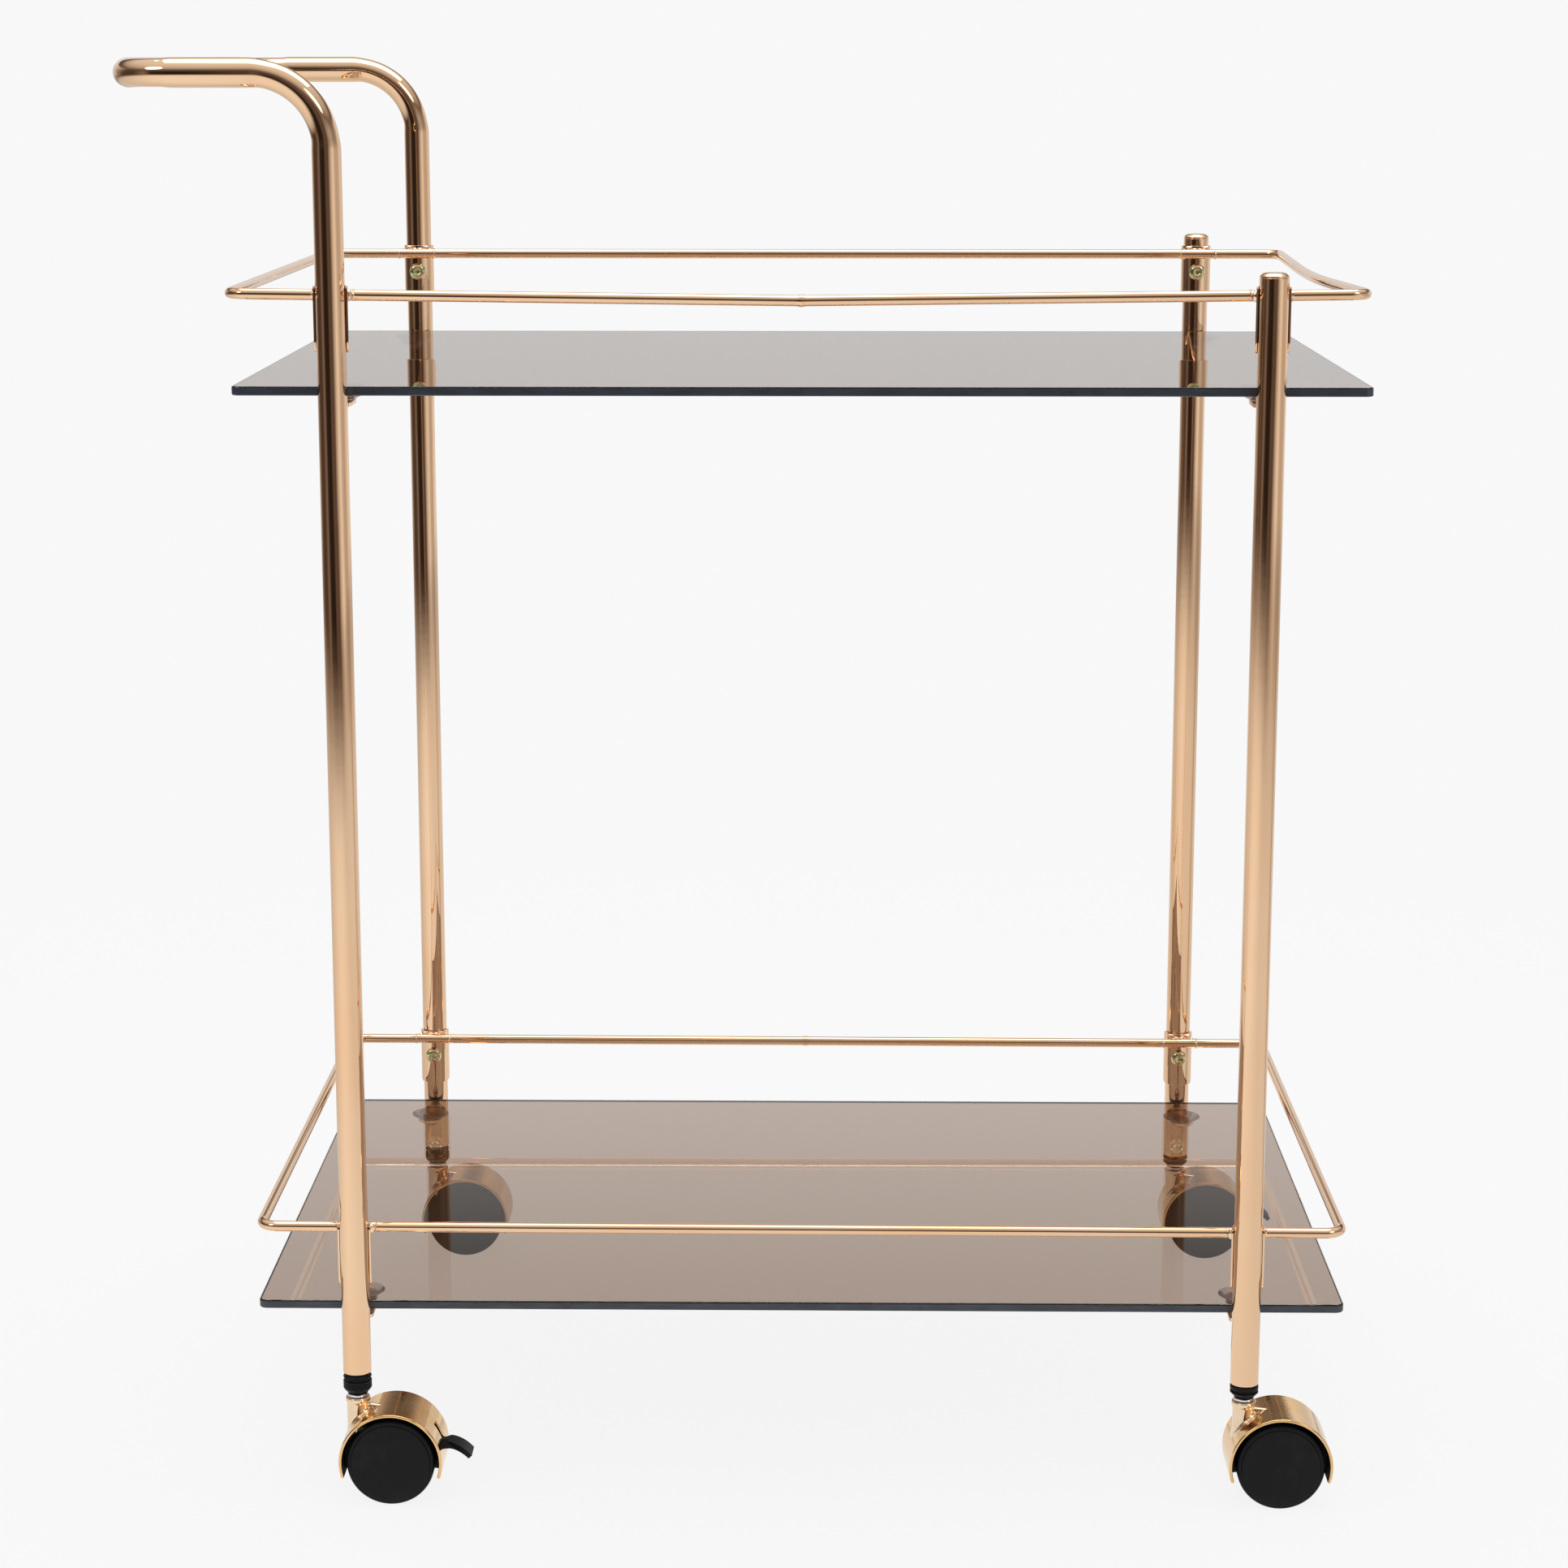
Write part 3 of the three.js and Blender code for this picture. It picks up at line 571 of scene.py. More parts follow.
def sweep(bm, path, radius, sides, closed=False, start_side=Vector((1, 0, 0)), wall=None, radii=None):
    """A rod, or with a wall a hollow tube, along a path."""
    uv = bm.loops.layers.uv.verify()
    travel = directions(path, closed)
    side = start_side
    frames = []
    walked = 0.0
    heights = []
    for i, (point, forward) in enumerate(zip(path, travel)):
        side = (side - forward * side.dot(forward)).normalized()
        frames.append((point, side, forward.cross(side)))
        if i:
            walked += (point - path[i - 1]).length
        heights.append(walked / 100)
    sizes = radii or [radius] * len(path)
    rings = [[bm.verts.new(p) for p in ring_points(c, s, u, r, sides)]
             for (c, s, u), r in zip(frames, sizes)]
    if wall is None:
        bridge(bm, rings, closed, uv, heights)
        if not closed:
            bm.faces.new(reversed(rings[0]))
            bm.faces.new(rings[-1])
        return
    lip = 0.35
    (first, s0, u0), (last, s1, u1) = frames[0], frames[-1]
    begin = [bm.verts.new(p) for p in ring_points(first - travel[0] * lip, s0, u0, radius - lip, sides)]
    end = [bm.verts.new(p) for p in ring_points(last + travel[-1] * lip, s1, u1, radius - lip, sides)]
    inside = [[bm.verts.new(p) for p in ring_points(c, s, u, r - wall, sides)]
              for (c, s, u), r in zip(frames, sizes)]
    order = [begin, *rings, end, *reversed(inside)]
    bridge(bm, order, True, uv, [heights[0], *heights, heights[-1], *reversed(heights)])


def spun(bm, profile, segments, turn=None, wobble=None, flats=()):
    """A body turned about +Z from (radius, height) pairs. Rings named in flats are hexagons."""
    uv = bm.loops.layers.uv.verify()
    turn = turn or Matrix.Identity(4)
    rings = []
    for index, (radius, height) in enumerate(profile):
        if radius <= 1e-6:
            rings.append([bm.verts.new(turn @ Vector((0, 0, height)))])
            continue
        ring = []
        for k in range(segments):
            angle = 2 * math.pi * k / segments
            r = radius
            if index in flats:
                sector = math.pi / 3
                r = radius / math.cos((angle + sector / 2) % sector - sector / 2)
            lift = wobble(angle, radius, height) if wobble else 0.0
            point = Vector((r * math.cos(angle), r * math.sin(angle), height + lift))
            ring.append(bm.verts.new(turn @ point))
        rings.append(ring)
    for i in range(len(rings) - 1):
        low, high = rings[i], rings[i + 1]
        for k in range(segments):
            n = (k + 1) % segments
            if len(low) == 1 and len(high) == 1:
                break
            if len(low) == 1:
                corners = (low[0], high[n], high[k])
            elif len(high) == 1:
                corners = (low[k], low[n], high[0])
            else:
                corners = (low[k], low[n], high[n], high[k])
            face = bm.faces.new(corners)
            for loop in face.loops:
                loop[uv].uv = (k / segments, i / len(rings))


def pushed(bm, outline, low, high, turn=None):
    """A flat outline in X and Y pushed from z = low to z = high."""
    turn = turn or Matrix.Identity(4)
    bottom = [bm.verts.new(turn @ Vector((p[0], p[1], low))) for p in outline]
    top = [bm.verts.new(turn @ Vector((p[0], p[1], high))) for p in outline]
    bm.faces.new(reversed(bottom))
    bm.faces.new(top)
    for k in range(len(outline)):
        n = (k + 1) % len(outline)
        bm.faces.new((bottom[k], bottom[n], top[n], top[k]))


def bead(bm, centre, radii, seed, turn=None):
    """A lumpy bead of weld."""
    turn = turn or Matrix.Identity(4)
    made = bmesh.ops.create_icosphere(bm, subdivisions=3, radius=1.0)
    offset = Vector((seed * 3.1, seed * 1.7, seed * 0.9))
    for vert in made["verts"]:
        swell = 1 + 0.16 * noise.noise(vert.co * 1.9 + offset)
        vert.co = turn @ (Vector(a * b * swell for a, b in zip(vert.co, radii)) + Vector(centre))


def across():
    """Turns a body drawn in X and Y, or about Z, so that its Z runs along -Y and its Y up."""
    return Matrix.Rotation(math.radians(90), 4, "X")


def facing(corner):
    """Turns a body drawn for a post whose inner side is +Y so that it suits this post."""
    return Matrix.Identity(4) if inward(corner) > 0 else Matrix.Rotation(math.pi, 4, "Z")


def moved(x, y, z):
    return Matrix.Translation(Vector((x, y, z)))


def make_piece(name, bm, body, nodes, materials, smooth_angle=35, bevel=0.0, bevel_steps=3):
    """Turns millimetre mesh code into a finished piece that stands for its nodes."""
    bmesh.ops.remove_doubles(bm, verts=bm.verts, dist=1e-5)
    bmesh.ops.recalc_face_normals(bm, faces=bm.faces)
    bmesh.ops.scale(bm, vec=(MM, MM, MM), verts=bm.verts)
    mesh = bpy.data.meshes.new(name)
    bm.to_mesh(mesh)
    bm.free()
    mesh.shade_smooth()
    mesh.set_sharp_from_angle(angle=math.radians(smooth_angle))
    piece = bpy.data.objects.new(name, mesh)
    bpy.context.scene.collection.objects.link(piece)
    for material in materials:
        mesh.materials.append(material)
    if bevel:
        rounding = piece.modifiers.new("rounded_edges", "BEVEL")
        rounding.width = bevel * MM
        rounding.segments = bevel_steps
        rounding.limit_method = "ANGLE"
        rounding.angle_limit = math.radians(smooth_angle)
        rounding.harden_normals = True
    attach(piece, body)
    if nodes:
        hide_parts(*nodes)
    return piece


def paint(bm, start, index):
    """Gives the faces made since start a material."""
    bm.faces.ensure_lookup_table()
    for face in bm.faces[start:]:
        face.material_index = index


def carried(node, material):
    """A CAD node that stays, with a procedural finish."""
    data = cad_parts[node].data
    data.materials.clear()
    data.materials.append(material)


# ---- Frame ----------------------------------------------------------------------------------------


def shelf_tab(bm, corner, level):
    """A flat bar with a round end and a run of weld at its root."""
    half, root = 8.0, TUBE_R - 1
    outline = [(half - 4, root), (half, root + 6), (half, CUP_INWARD)]
    outline += [(half * math.cos(a), CUP_INWARD + half * math.sin(a))
                for a in (math.pi * k / 14 for k in range(1, 14))]
    outline += [(-half, CUP_INWARD), (-half, root + 6), (-half + 4, root)]
    top = node_box(f"{level}_shelf")[0].z - TAB_DROP
    turn = moved(*post_axis(corner)) @ facing(corner)
    first = len(bm.faces)
    pushed(bm, outline, top - 2, top, turn)
    paint(bm, first, 1)
    first = len(bm.faces)
    for x in (-3.2, -1.2, 1.0, 3.0):
        for z in (top + 0.2, top - 2.2):
            bead(bm, (x, TUBE_R - 0.1, z), (1.4, 1.1, 0.8), x + z, turn)
    # the beads take the weld plating, whose pale tone is painted highlight
    paint(bm, first, 2)


def frame_materials():
    return [rose_plating(wrap=True), rose_plating(), weld_plating_painted_highlight()]


class CART_OT_bend_frame(bpy.types.Operator):
    """Bends the left posts and the push handle from one tube, and welds on the shelf tabs"""

    bl_idname = "cart.bend_frame"
    bl_label = "Left Frame"

    def execute(self, context):
        low, high = node_box("left_frame")
        front, rear = post_axis("front_left"), post_axis("rear_left")
        top = high.z - TUBE_R
        back = low.x + TUBE_R
        lip = 0.35
        corners = [
            (front.x, front.y, low.z + lip), (front.x, front.y, top), (back, front.y, top),
            (back, rear.y, top), (rear.x, rear.y, top), (rear.x, rear.y, low.z + lip),
        ]
        bends = [0, shape("post_bend"), shape("handle_bend"), shape("handle_bend"), shape("post_bend"), 0]
        path = filleted(corners, bends, steps=28)
        turns = list(zip(corners, bends))[1:-1]
        bm = bmesh.new()
        sweep(bm, path, TUBE_R, 56, wall=shape("tube_wall"), radii=[self.pinched(p, turns) for p in path])
        for corner in ("front_left", "rear_left"):
            for level in LEVELS:
                shelf_tab(bm, corner, level)
        make_piece("bent_frame", bm, "cart", ["left_frame"], frame_materials(), bevel=0.3)
        return {"FINISHED"}

    def pinched(self, point, turns):
        """The tube's radius, which the bender makes a little smaller between the ends of each bend."""
        closeness = 0.0
        for corner, bend in turns:
            distance = (point - Vector(corner)).length
            closeness = max(closeness, min(1.0, (bend * 1.05 - distance) / (bend * 0.25)))
        return TUBE_R - shape("bend_pinch") * closeness * closeness * (3 - 2 * closeness)


class CART_OT_set_posts(bpy.types.Operator):
    """Sets up the two right posts with their shelf tabs and domed caps"""

    bl_idname = "cart.set_posts"
    bl_label = "Right Posts"

    def execute(self, context):
        for side in SIDES:
            node = f"right_post_{side}"
            low = node_box(node)[0]
            axis = post_axis(f"{side}_right")
            lip = 0.35
            top = node_box(f"post_cap_{side}")[1].z - CAP_DOME
            path = [axis + Vector((0, 0, low.z + lip)), axis + Vector((0, 0, top - lip))]
            bm = bmesh.new()
            sweep(bm, path, TUBE_R, 56, wall=shape("tube_wall"))
            for level in LEVELS:
                shelf_tab(bm, f"{side}_right", level)
            make_piece(f"{side}_right_post", bm, "cart", [node], frame_materials(), bevel=0.3)
            self.cap(side, axis, top)
        return {"FINISHED"}

    def cap(self, side, axis, top):
        low, high = node_box(f"post_cap_{side}")
        stem = TUBE_R - shape("tube_wall") - 0.3
        profile = filleted(flat([
            (0, low.z), (stem, low.z), (stem, top + 0.1), (TUBE_R, top + 0.1), (TUBE_R, top + 0.9),
            (TUBE_R - 2.2, high.z - 0.5), (0, high.z),
        ]), [0, 0.8, 0, 0.15, 0.5, 4, 0], 7)
        bm = bmesh.new()
        spun(bm, [(p.x, p.y) for p in profile], 56, moved(axis.x, axis.y, 0))
        make_piece(f"{side}_post_cap", bm, "cart", [f"post_cap_{side}"], [rose_plating()])


# ---- Guard rails ----------------------------------------------------------------------------------


def saddle(bm, turn):
    """A half sleeve with round lower corners, made as a bent sheet with two faces and a rim."""
    inner = TUBE_R + 0.3
    outer = inner + shape("saddle_wall")
    columns, rows = 36, 18
    low_corner, top_corner = 5.0, 1.2
    grids = []
    for radius in (inner, outer):
        grid = []
        for i in range(columns + 1):
            angle = math.pi * i / columns
            inset = radius * min(angle, math.pi - angle)
            low = -SADDLE_BELOW_ROD
            high = SADDLE_ABOVE_ROD
            if inset < low_corner:
                low += low_corner - math.sqrt(low_corner ** 2 - (low_corner - inset) ** 2)
            if inset < top_corner:
                high -= top_corner - math.sqrt(top_corner ** 2 - (top_corner - inset) ** 2)
            grid.append([bm.verts.new(turn @ Vector((
                radius * math.cos(angle), radius * math.sin(angle), low + (high - low) * j / rows)))
                for j in range(rows + 1)])
        grids.append(grid)
    near, far = grids
    for i in range(columns):
        for j in range(rows):
            bm.faces.new((far[i][j], far[i + 1][j], far[i + 1][j + 1], far[i][j + 1]))
            bm.faces.new((near[i][j + 1], near[i + 1][j + 1], near[i + 1][j], near[i][j]))
        for j in (0, rows):
            bm.faces.new((near[i][j], near[i + 1][j], far[i + 1][j], far[i][j]))
    for i in (0, columns):
        for j in range(rows):
            bm.faces.new((near[i][j], far[i][j], far[i][j + 1], near[i][j + 1]))


class CART_OT_bend_rails(bpy.types.Operator):
    """Bends the two guard rails from rod, with their butt welds and the saddles that clip the posts"""

    bl_idname = "cart.bend_rails"
    bl_label = "Guard Rails"

    def execute(self, context):
        self.rail("upper", -1, shape("rail_sag"), shape("rail_bow"), shape("rail_dip"), 0.0)
        self.rail("lower", 1, 0.0, 0.0, 0.0, shape("rail_tilt"))
        return {"FINISHED"}

    def rail(self, level, weld_side, sag, bow, dip, tilt):
        low, high = node_box(f"{level}_rail")
        middle = (low.x + high.x) / 2
        half = (high.x - low.x) / 2 - ROD_R
        post = post_axis("rear_left").y
        y = post - (TUBE_R + 0.3 + shape("saddle_wall")) - ROD_R + 0.35
        z = rod_height(level)
        weld = Vector((node_middle("upper_shelf").x, weld_side * y, z - sag))
        bead_run = [0, 0.5, 1.0, 1.5, 2.1, 3.0, 4.5]
        slope = Vector((half, 0, sag)).normalized()
        leave = [weld + slope * d for d in bead_run]
        arrive = [weld + Vector((-slope.x, 0, slope.z)) * d for d in reversed(bead_run[1:])]
        right, left = middle + half, middle - half
        corners = [
            leave[-1], (right, weld_side * y, z - tilt), (right - bow, 0, z - tilt - dip),
            (right, -weld_side * y, z - tilt), (left, -weld_side * y, z + tilt),
            (left, weld_side * y, z + tilt), arrive[0],
        ]
        bend = shape("rail_bend")
        path = [*leave[:-1], *filleted(corners, [0, bend, 2200, bend, bend, bend, 0], 14), *arrive[1:]]
        swell = [ROD_R * (1 + 0.13 * math.exp(-((p - weld).length / 1.5) ** 2)) for p in path]
        bm = bmesh.new()
        sweep(bm, path, ROD_R, 28, closed=True, start_side=Vector((0, 0, 1)), radii=swell)
        for corner in CORNERS:
            low_here = sag * (1 - self.share(corner, half)) if inward(corner) == -weld_side else 0.0
            low_here += tilt * self.share(corner, half) * (1 if corner.endswith("right") else -1)
            self.clip(bm, corner, z, low_here)
        make_piece(f"{level}_guard_rail", bm, "cart", [f"{level}_rail"], frame_materials(),
                   bevel=0.3)

    def share(self, corner, half):
        """How far out along the rail a post stands, from 0 in its middle to 1 at its end."""
        return abs(post_axis(corner).x - node_middle("upper_shelf").x) / half

    def clip(self, bm, corner, z, low_here):
        axis = post_axis(corner)
        turn = moved(axis.x, axis.y, z) @ facing(corner)
        first = len(bm.faces)
        saddle(bm, turn)
        paint(bm, first, 1)
        first = len(bm.faces)
        size = shape("weld")
        drop = -low_here
        rod_y = TUBE_R + 0.3 + shape("saddle_wall") + ROD_R - 0.35
        for flank in (-1, 1):
            seed = flank * 2 + axis.x * 0.01 + axis.y * 0.02 + z * 0.013
            bead(bm, (flank * 8.4, 9.6, drop), (size * 1.15, size, size * 1.65), seed, turn)
            bead(bm, (flank * 11.2, rod_y, drop), (size * 0.75, ROD_R + 0.25, ROD_R + 0.25), seed + 1, turn)
            bead(bm, (flank * 5.4, 9.0, 4.2), (size * 1.2, size * 0.8, size * 0.5), seed + 2, turn)
        for x in (-4.6, -1.4, 1.9, 4.9):
            bead(bm, (x, rod_y - ROD_R, drop + 2.6), (size, size * 0.7, size * 0.55), x, turn)
        # the beads take the weld plating, whose pale tone is painted highlight
        paint(bm, first, 2)


class CART_OT_drive_screws(bpy.types.Operator):
    """Turns in the button-head screws that hold the saddles to the posts"""

    bl_idname = "cart.drive_screws"
    bl_label = "Rail Screws"

    def execute(self, context):
        seat = TUBE_R + 0.3 + shape("saddle_wall") + 0.3
        top = seat + 3.2
        corners = flat([(5.25, seat), (5.25, seat + 0.9), (4.4, top - 0.7), (2.9, top)])
        dome = filleted(corners, [0, 0.5, 1.6, 0], 6)
        recess = [(2.55, top), (2.0, top - 0.25), (2.0, top - 1.9), (1.6, top - 2.1), (0, top - 2.5)]
        profile = [(0, 1.5), (2.6, 1.5), (2.9, 1.9), (2.9, seat), *[(p.x, p.y) for p in dome], *recess]
        hexagons = [len(profile) - n for n in (4, 3, 2)]
        for level in LEVELS:
            for corner in CORNERS:
                node = f"{level}_screw_{corner}"
                axis = post_axis(corner)
                height = rod_height(level) - SCREW_BELOW_ROD
                lie = facing(corner) @ Matrix.Rotation(math.radians(-90), 4, "X")
                turned = Matrix.Rotation(0.9 * len(node) + axis.x * 0.05 + height, 4, "Z")
                bm = bmesh.new()
                spun(bm, profile, 48, moved(axis.x, axis.y, height) @ lie @ turned, flats=hexagons)
                make_piece(f"{level}_{corner}_screw", bm, "cart", [node], [yellow_zinc()])
        return {"FINISHED"}


# ---- Shelves --------------------------------------------------------------------------------------


class CART_OT_lay_glass(bpy.types.Operator):
    """Lays the two smoked glass shelves, with polished edges and a narrow arris"""

    bl_idname = "cart.lay_glass"
    bl_label = "Glass Shelves"

    def execute(self, context):
        arris = shape("arris")
        radius = shape("glass_corner")
        for level in LEVELS:
            low, high = node_box(f"{level}_shelf")
            layers = [(arris, low.z), (arris * 0.3, low.z + arris * 0.3), (0, low.z + arris),
                      (0, high.z - arris), (arris * 0.3, high.z - arris * 0.3), (arris, high.z)]
            bm = bmesh.new()
            rings = []
            for inset, z in layers:
                x0, y0, x1, y1 = low.x + inset, low.y + inset, high.x - inset, high.y - inset
                outline = filleted(flat([(x0, y0), (x1, y0), (x1, y1), (x0, y1)], z),
                                   radius - inset, 10, closed=True)
                rings.append([bm.verts.new(p) for p in outline])
            bm.faces.new(reversed(rings[0]))
            bm.faces.new(rings[-1])
            for lower, upper in zip(rings, rings[1:]):
                first = len(bm.faces)
                for k in range(len(lower)):
                    n = (k + 1) % len(lower)
                    bm.faces.new((lower[k], lower[n], upper[n], upper[k]))
                if upper[0].co.z < high.z - arris / 2:
                    paint(bm, first, 1)
            make_piece(f"{level}_glass", bm, "cart", [f"{level}_shelf"],
                       [smoked_glass(), ground_edge()], smooth_angle=12)
        return {"FINISHED"}


class CART_OT_press_cups(bpy.types.Operator):
    """Presses a clear cup into each tab, its rim against the glass"""

    bl_idname = "cart.press_cups"
    bl_label = "Glass Cups"

    def execute(self, context):
        drop = -TAB_DROP
        profile = filleted(flat([
            (0, -2.2), (4, -2.0), (9, -1.1), (12.1, -0.5), (12.3, -0.95), (10.4, -2.3), (8.6, drop + 0.7),
            (7.6, drop + 0.3), (3.05, drop + 0.3), (3.05, drop - 2.3), (4.6, drop - 2.3),
            (4.2, drop - 4.4), (0, drop - 5.5),
        ]), [0, 3, 6, 0.15, 0.15, 4, 0.6, 0.2, 0.2, 0.3, 0.5, 1.4, 0], 4)
        for level in LEVELS:
            for corner in CORNERS:
                node = f"{level}_cup_{corner}"
                low, high = node_box(node)
                phase = (low.x * 0.37 + low.y * 0.11 + low.z) % 6.28

                def wobble(angle, radius, height):
                    lift = 0.16 * math.sin(2 * angle + phase) + 0.1 * math.sin(3 * angle - phase)
                    return (lift - 0.26) * max(0.0, (radius - 6) / 6.3)

                bm = bmesh.new()
                centre = moved((low.x + high.x) / 2, (low.y + high.y) / 2, high.z + 0.3)
                spun(bm, [(p.x, p.y) for p in profile], 48, centre, wobble)
                make_piece(f"{level}_{corner}_cup", bm, "cart", [node], [clear_vinyl()])
        return {"FINISHED"}


# ---- Casters --------------------------------------------------------------------------------------


class CART_OT_fit_plugs(bpy.types.Operator):
    """Fits the ribbed socket plugs and the caster stems into the lower ends of the posts"""

    bl_idname = "cart.fit_plugs"
    bl_label = "Plugs and Stems"

    def execute(self, context):
        for corner in CORNERS:
            axis = moved(*post_axis(corner))
            self.plug(corner, axis)
            self.stem(corner, axis)
            carried(f"grip_ring_{corner}", bright_steel())
        return {"FINISHED"}

    def plug(self, corner, axis):
        low, high = node_box(f"socket_plug_{corner}")
        left = corner.endswith("left")
        shoulder = node_box("left_frame" if left else "right_post_front")[0].z - 0.3
        full = TUBE_R + 0.1
        if left:
            drum = [(full, low.z + 3.4)]
            for groove in (low.z + 4.8, low.z + 6.3):
                drum += [(full, groove - 0.35), (full - 0.35, groove - 0.15), (full - 0.35, groove + 0.15),
                         (full, groove + 0.35)]
            drum += [(full, low.z + 7.6)]
            neck = [(full - 1.3, low.z + 8.2), (full - 1.3, low.z + 9.1), (full, low.z + 10.0),
                    (full - 0.2, low.z + 10.5), (full - 1.9, shoulder)]
        else:
            drum = [(full, low.z + 3.0), (full, shoulder - 4.2)]
            neck = [(full - 1.1, shoulder - 3.6), (full - 1.1, shoulder - 3.0), (full, shoulder - 2.4),
                    (full, shoulder - 0.8), (full - 0.8, shoulder)]
        chamfer = [(TUBE_R - 2.8, low.z), (TUBE_R - 1.6, low.z + 1.2), (TUBE_R - 0.5, low.z + 2.4)]
        outside = [*chamfer, *drum, *neck]
        sleeve = TUBE_R - shape("tube_wall") - 0.3
        bore = 4.8
        profile = [(bore, low.z), *outside, (sleeve, shoulder), (sleeve, high.z - 1), (sleeve - 0.8, high.z),
                   (0, high.z), (0, high.z - 3.7), (bore, high.z - 3.7), (bore, low.z)]
        bm = bmesh.new()
        spun(bm, profile, 48, axis)
        make_piece(f"{corner}_socket_plug", bm, "cart", [f"socket_plug_{corner}"],
                   [black_nylon()], smooth_angle=25)

    def stem(self, corner, axis):
        low, high = node_box(f"caster_stem_{corner}")
        plug_low = node_box(f"socket_plug_{corner}")[0].z
        flange_low, flange_high = plug_low - 1.8, plug_low - 0.3
        groove = node_middle(f"grip_ring_{corner}").z
        profile = [
            (0, low.z), (2.6, low.z), (3.1, low.z + 0.6), (3.1, flange_low), (5.5, flange_low),
            (5.9, flange_low + 0.35), (5.9, flange_high - 0.35), (5.6, flange_high), (3.9, flange_high),
            (3.9, groove - 1.9), (3.0, groove - 1.9), (3.0, groove + 1.9), (3.9, groove + 1.9),
            (3.9, high.z - 1.2), (3.2, high.z - 0.2), (2.6, high.z), (0, high.z),
        ]
        bm = bmesh.new()
        spun(bm, profile, 40, axis)
        make_piece(f"{corner}_caster_stem", bm, "cart", [f"caster_stem_{corner}"],
                   [bright_steel()])


PAINTED_SHADE_SLOT = 1        # material slot of the painted shade: near-black paint inside the hood and on the web


def hood_sheet(bm, turn, slotted):
    """The bent sheet of a hood as a closed shell, open below, with a slot for the brake lever."""
    columns, rows = 96, 26
    wall = shape("hood_wall")
    start, end = -HOOD_DROP, math.pi + HOOD_DROP
    slot_low, slot_high, slot_half = math.radians(4.5), math.radians(36), 2.6
    angles = [start + (end - start) * i / columns for i in range(columns + 1)]
    angles = sorted({*angles, slot_low, slot_high})
    widths = [-HOOD_HALF + 2 * HOOD_HALF * j / rows for j in range(rows + 1)]
    widths = sorted({*[w for w in widths if abs(w) > slot_half + 1.2], -slot_half, slot_half, 0.0})

    def open_here(i, j):
        middle_angle = (angles[i] + angles[i + 1]) / 2
        middle_width = (widths[j] + widths[j + 1]) / 2
        return slotted and slot_low < middle_angle < slot_high and abs(middle_width) < slot_half

    def sheet(radius):
        return [[bm.verts.new(turn @ Vector((radius * math.cos(a), w, radius * math.sin(a))))
                 for w in widths] for a in angles]

    outer, inner = sheet(HOOD_R), sheet(HOOD_R - wall)
    for i in range(len(angles) - 1):
        for j in range(len(widths) - 1):
            if open_here(i, j):
                continue
            bm.faces.new((outer[i][j], outer[i + 1][j], outer[i + 1][j + 1], outer[i][j + 1]))
            hidden = bm.faces.new((inner[i][j + 1], inner[i + 1][j + 1], inner[i + 1][j], inner[i][j]))
            # the inside of the sheet takes the near-black painted shade
            hidden.material_index = PAINTED_SHADE_SLOT
            for di, dj, a, b in ((-1, 0, (i, j), (i, j + 1)), (1, 0, (i + 1, j), (i + 1, j + 1)),
                                 (0, -1, (i, j), (i + 1, j)), (0, 1, (i, j + 1), (i + 1, j + 1))):
                ni, nj = i + di, j + dj
                outside = not (0 <= ni < len(angles) - 1 and 0 <= nj < len(widths) - 1)
                if outside or open_here(ni, nj):
                    bm.faces.new((outer[a[0]][a[1]], outer[b[0]][b[1]], inner[b[0]][b[1]], inner[a[0]][a[1]]))


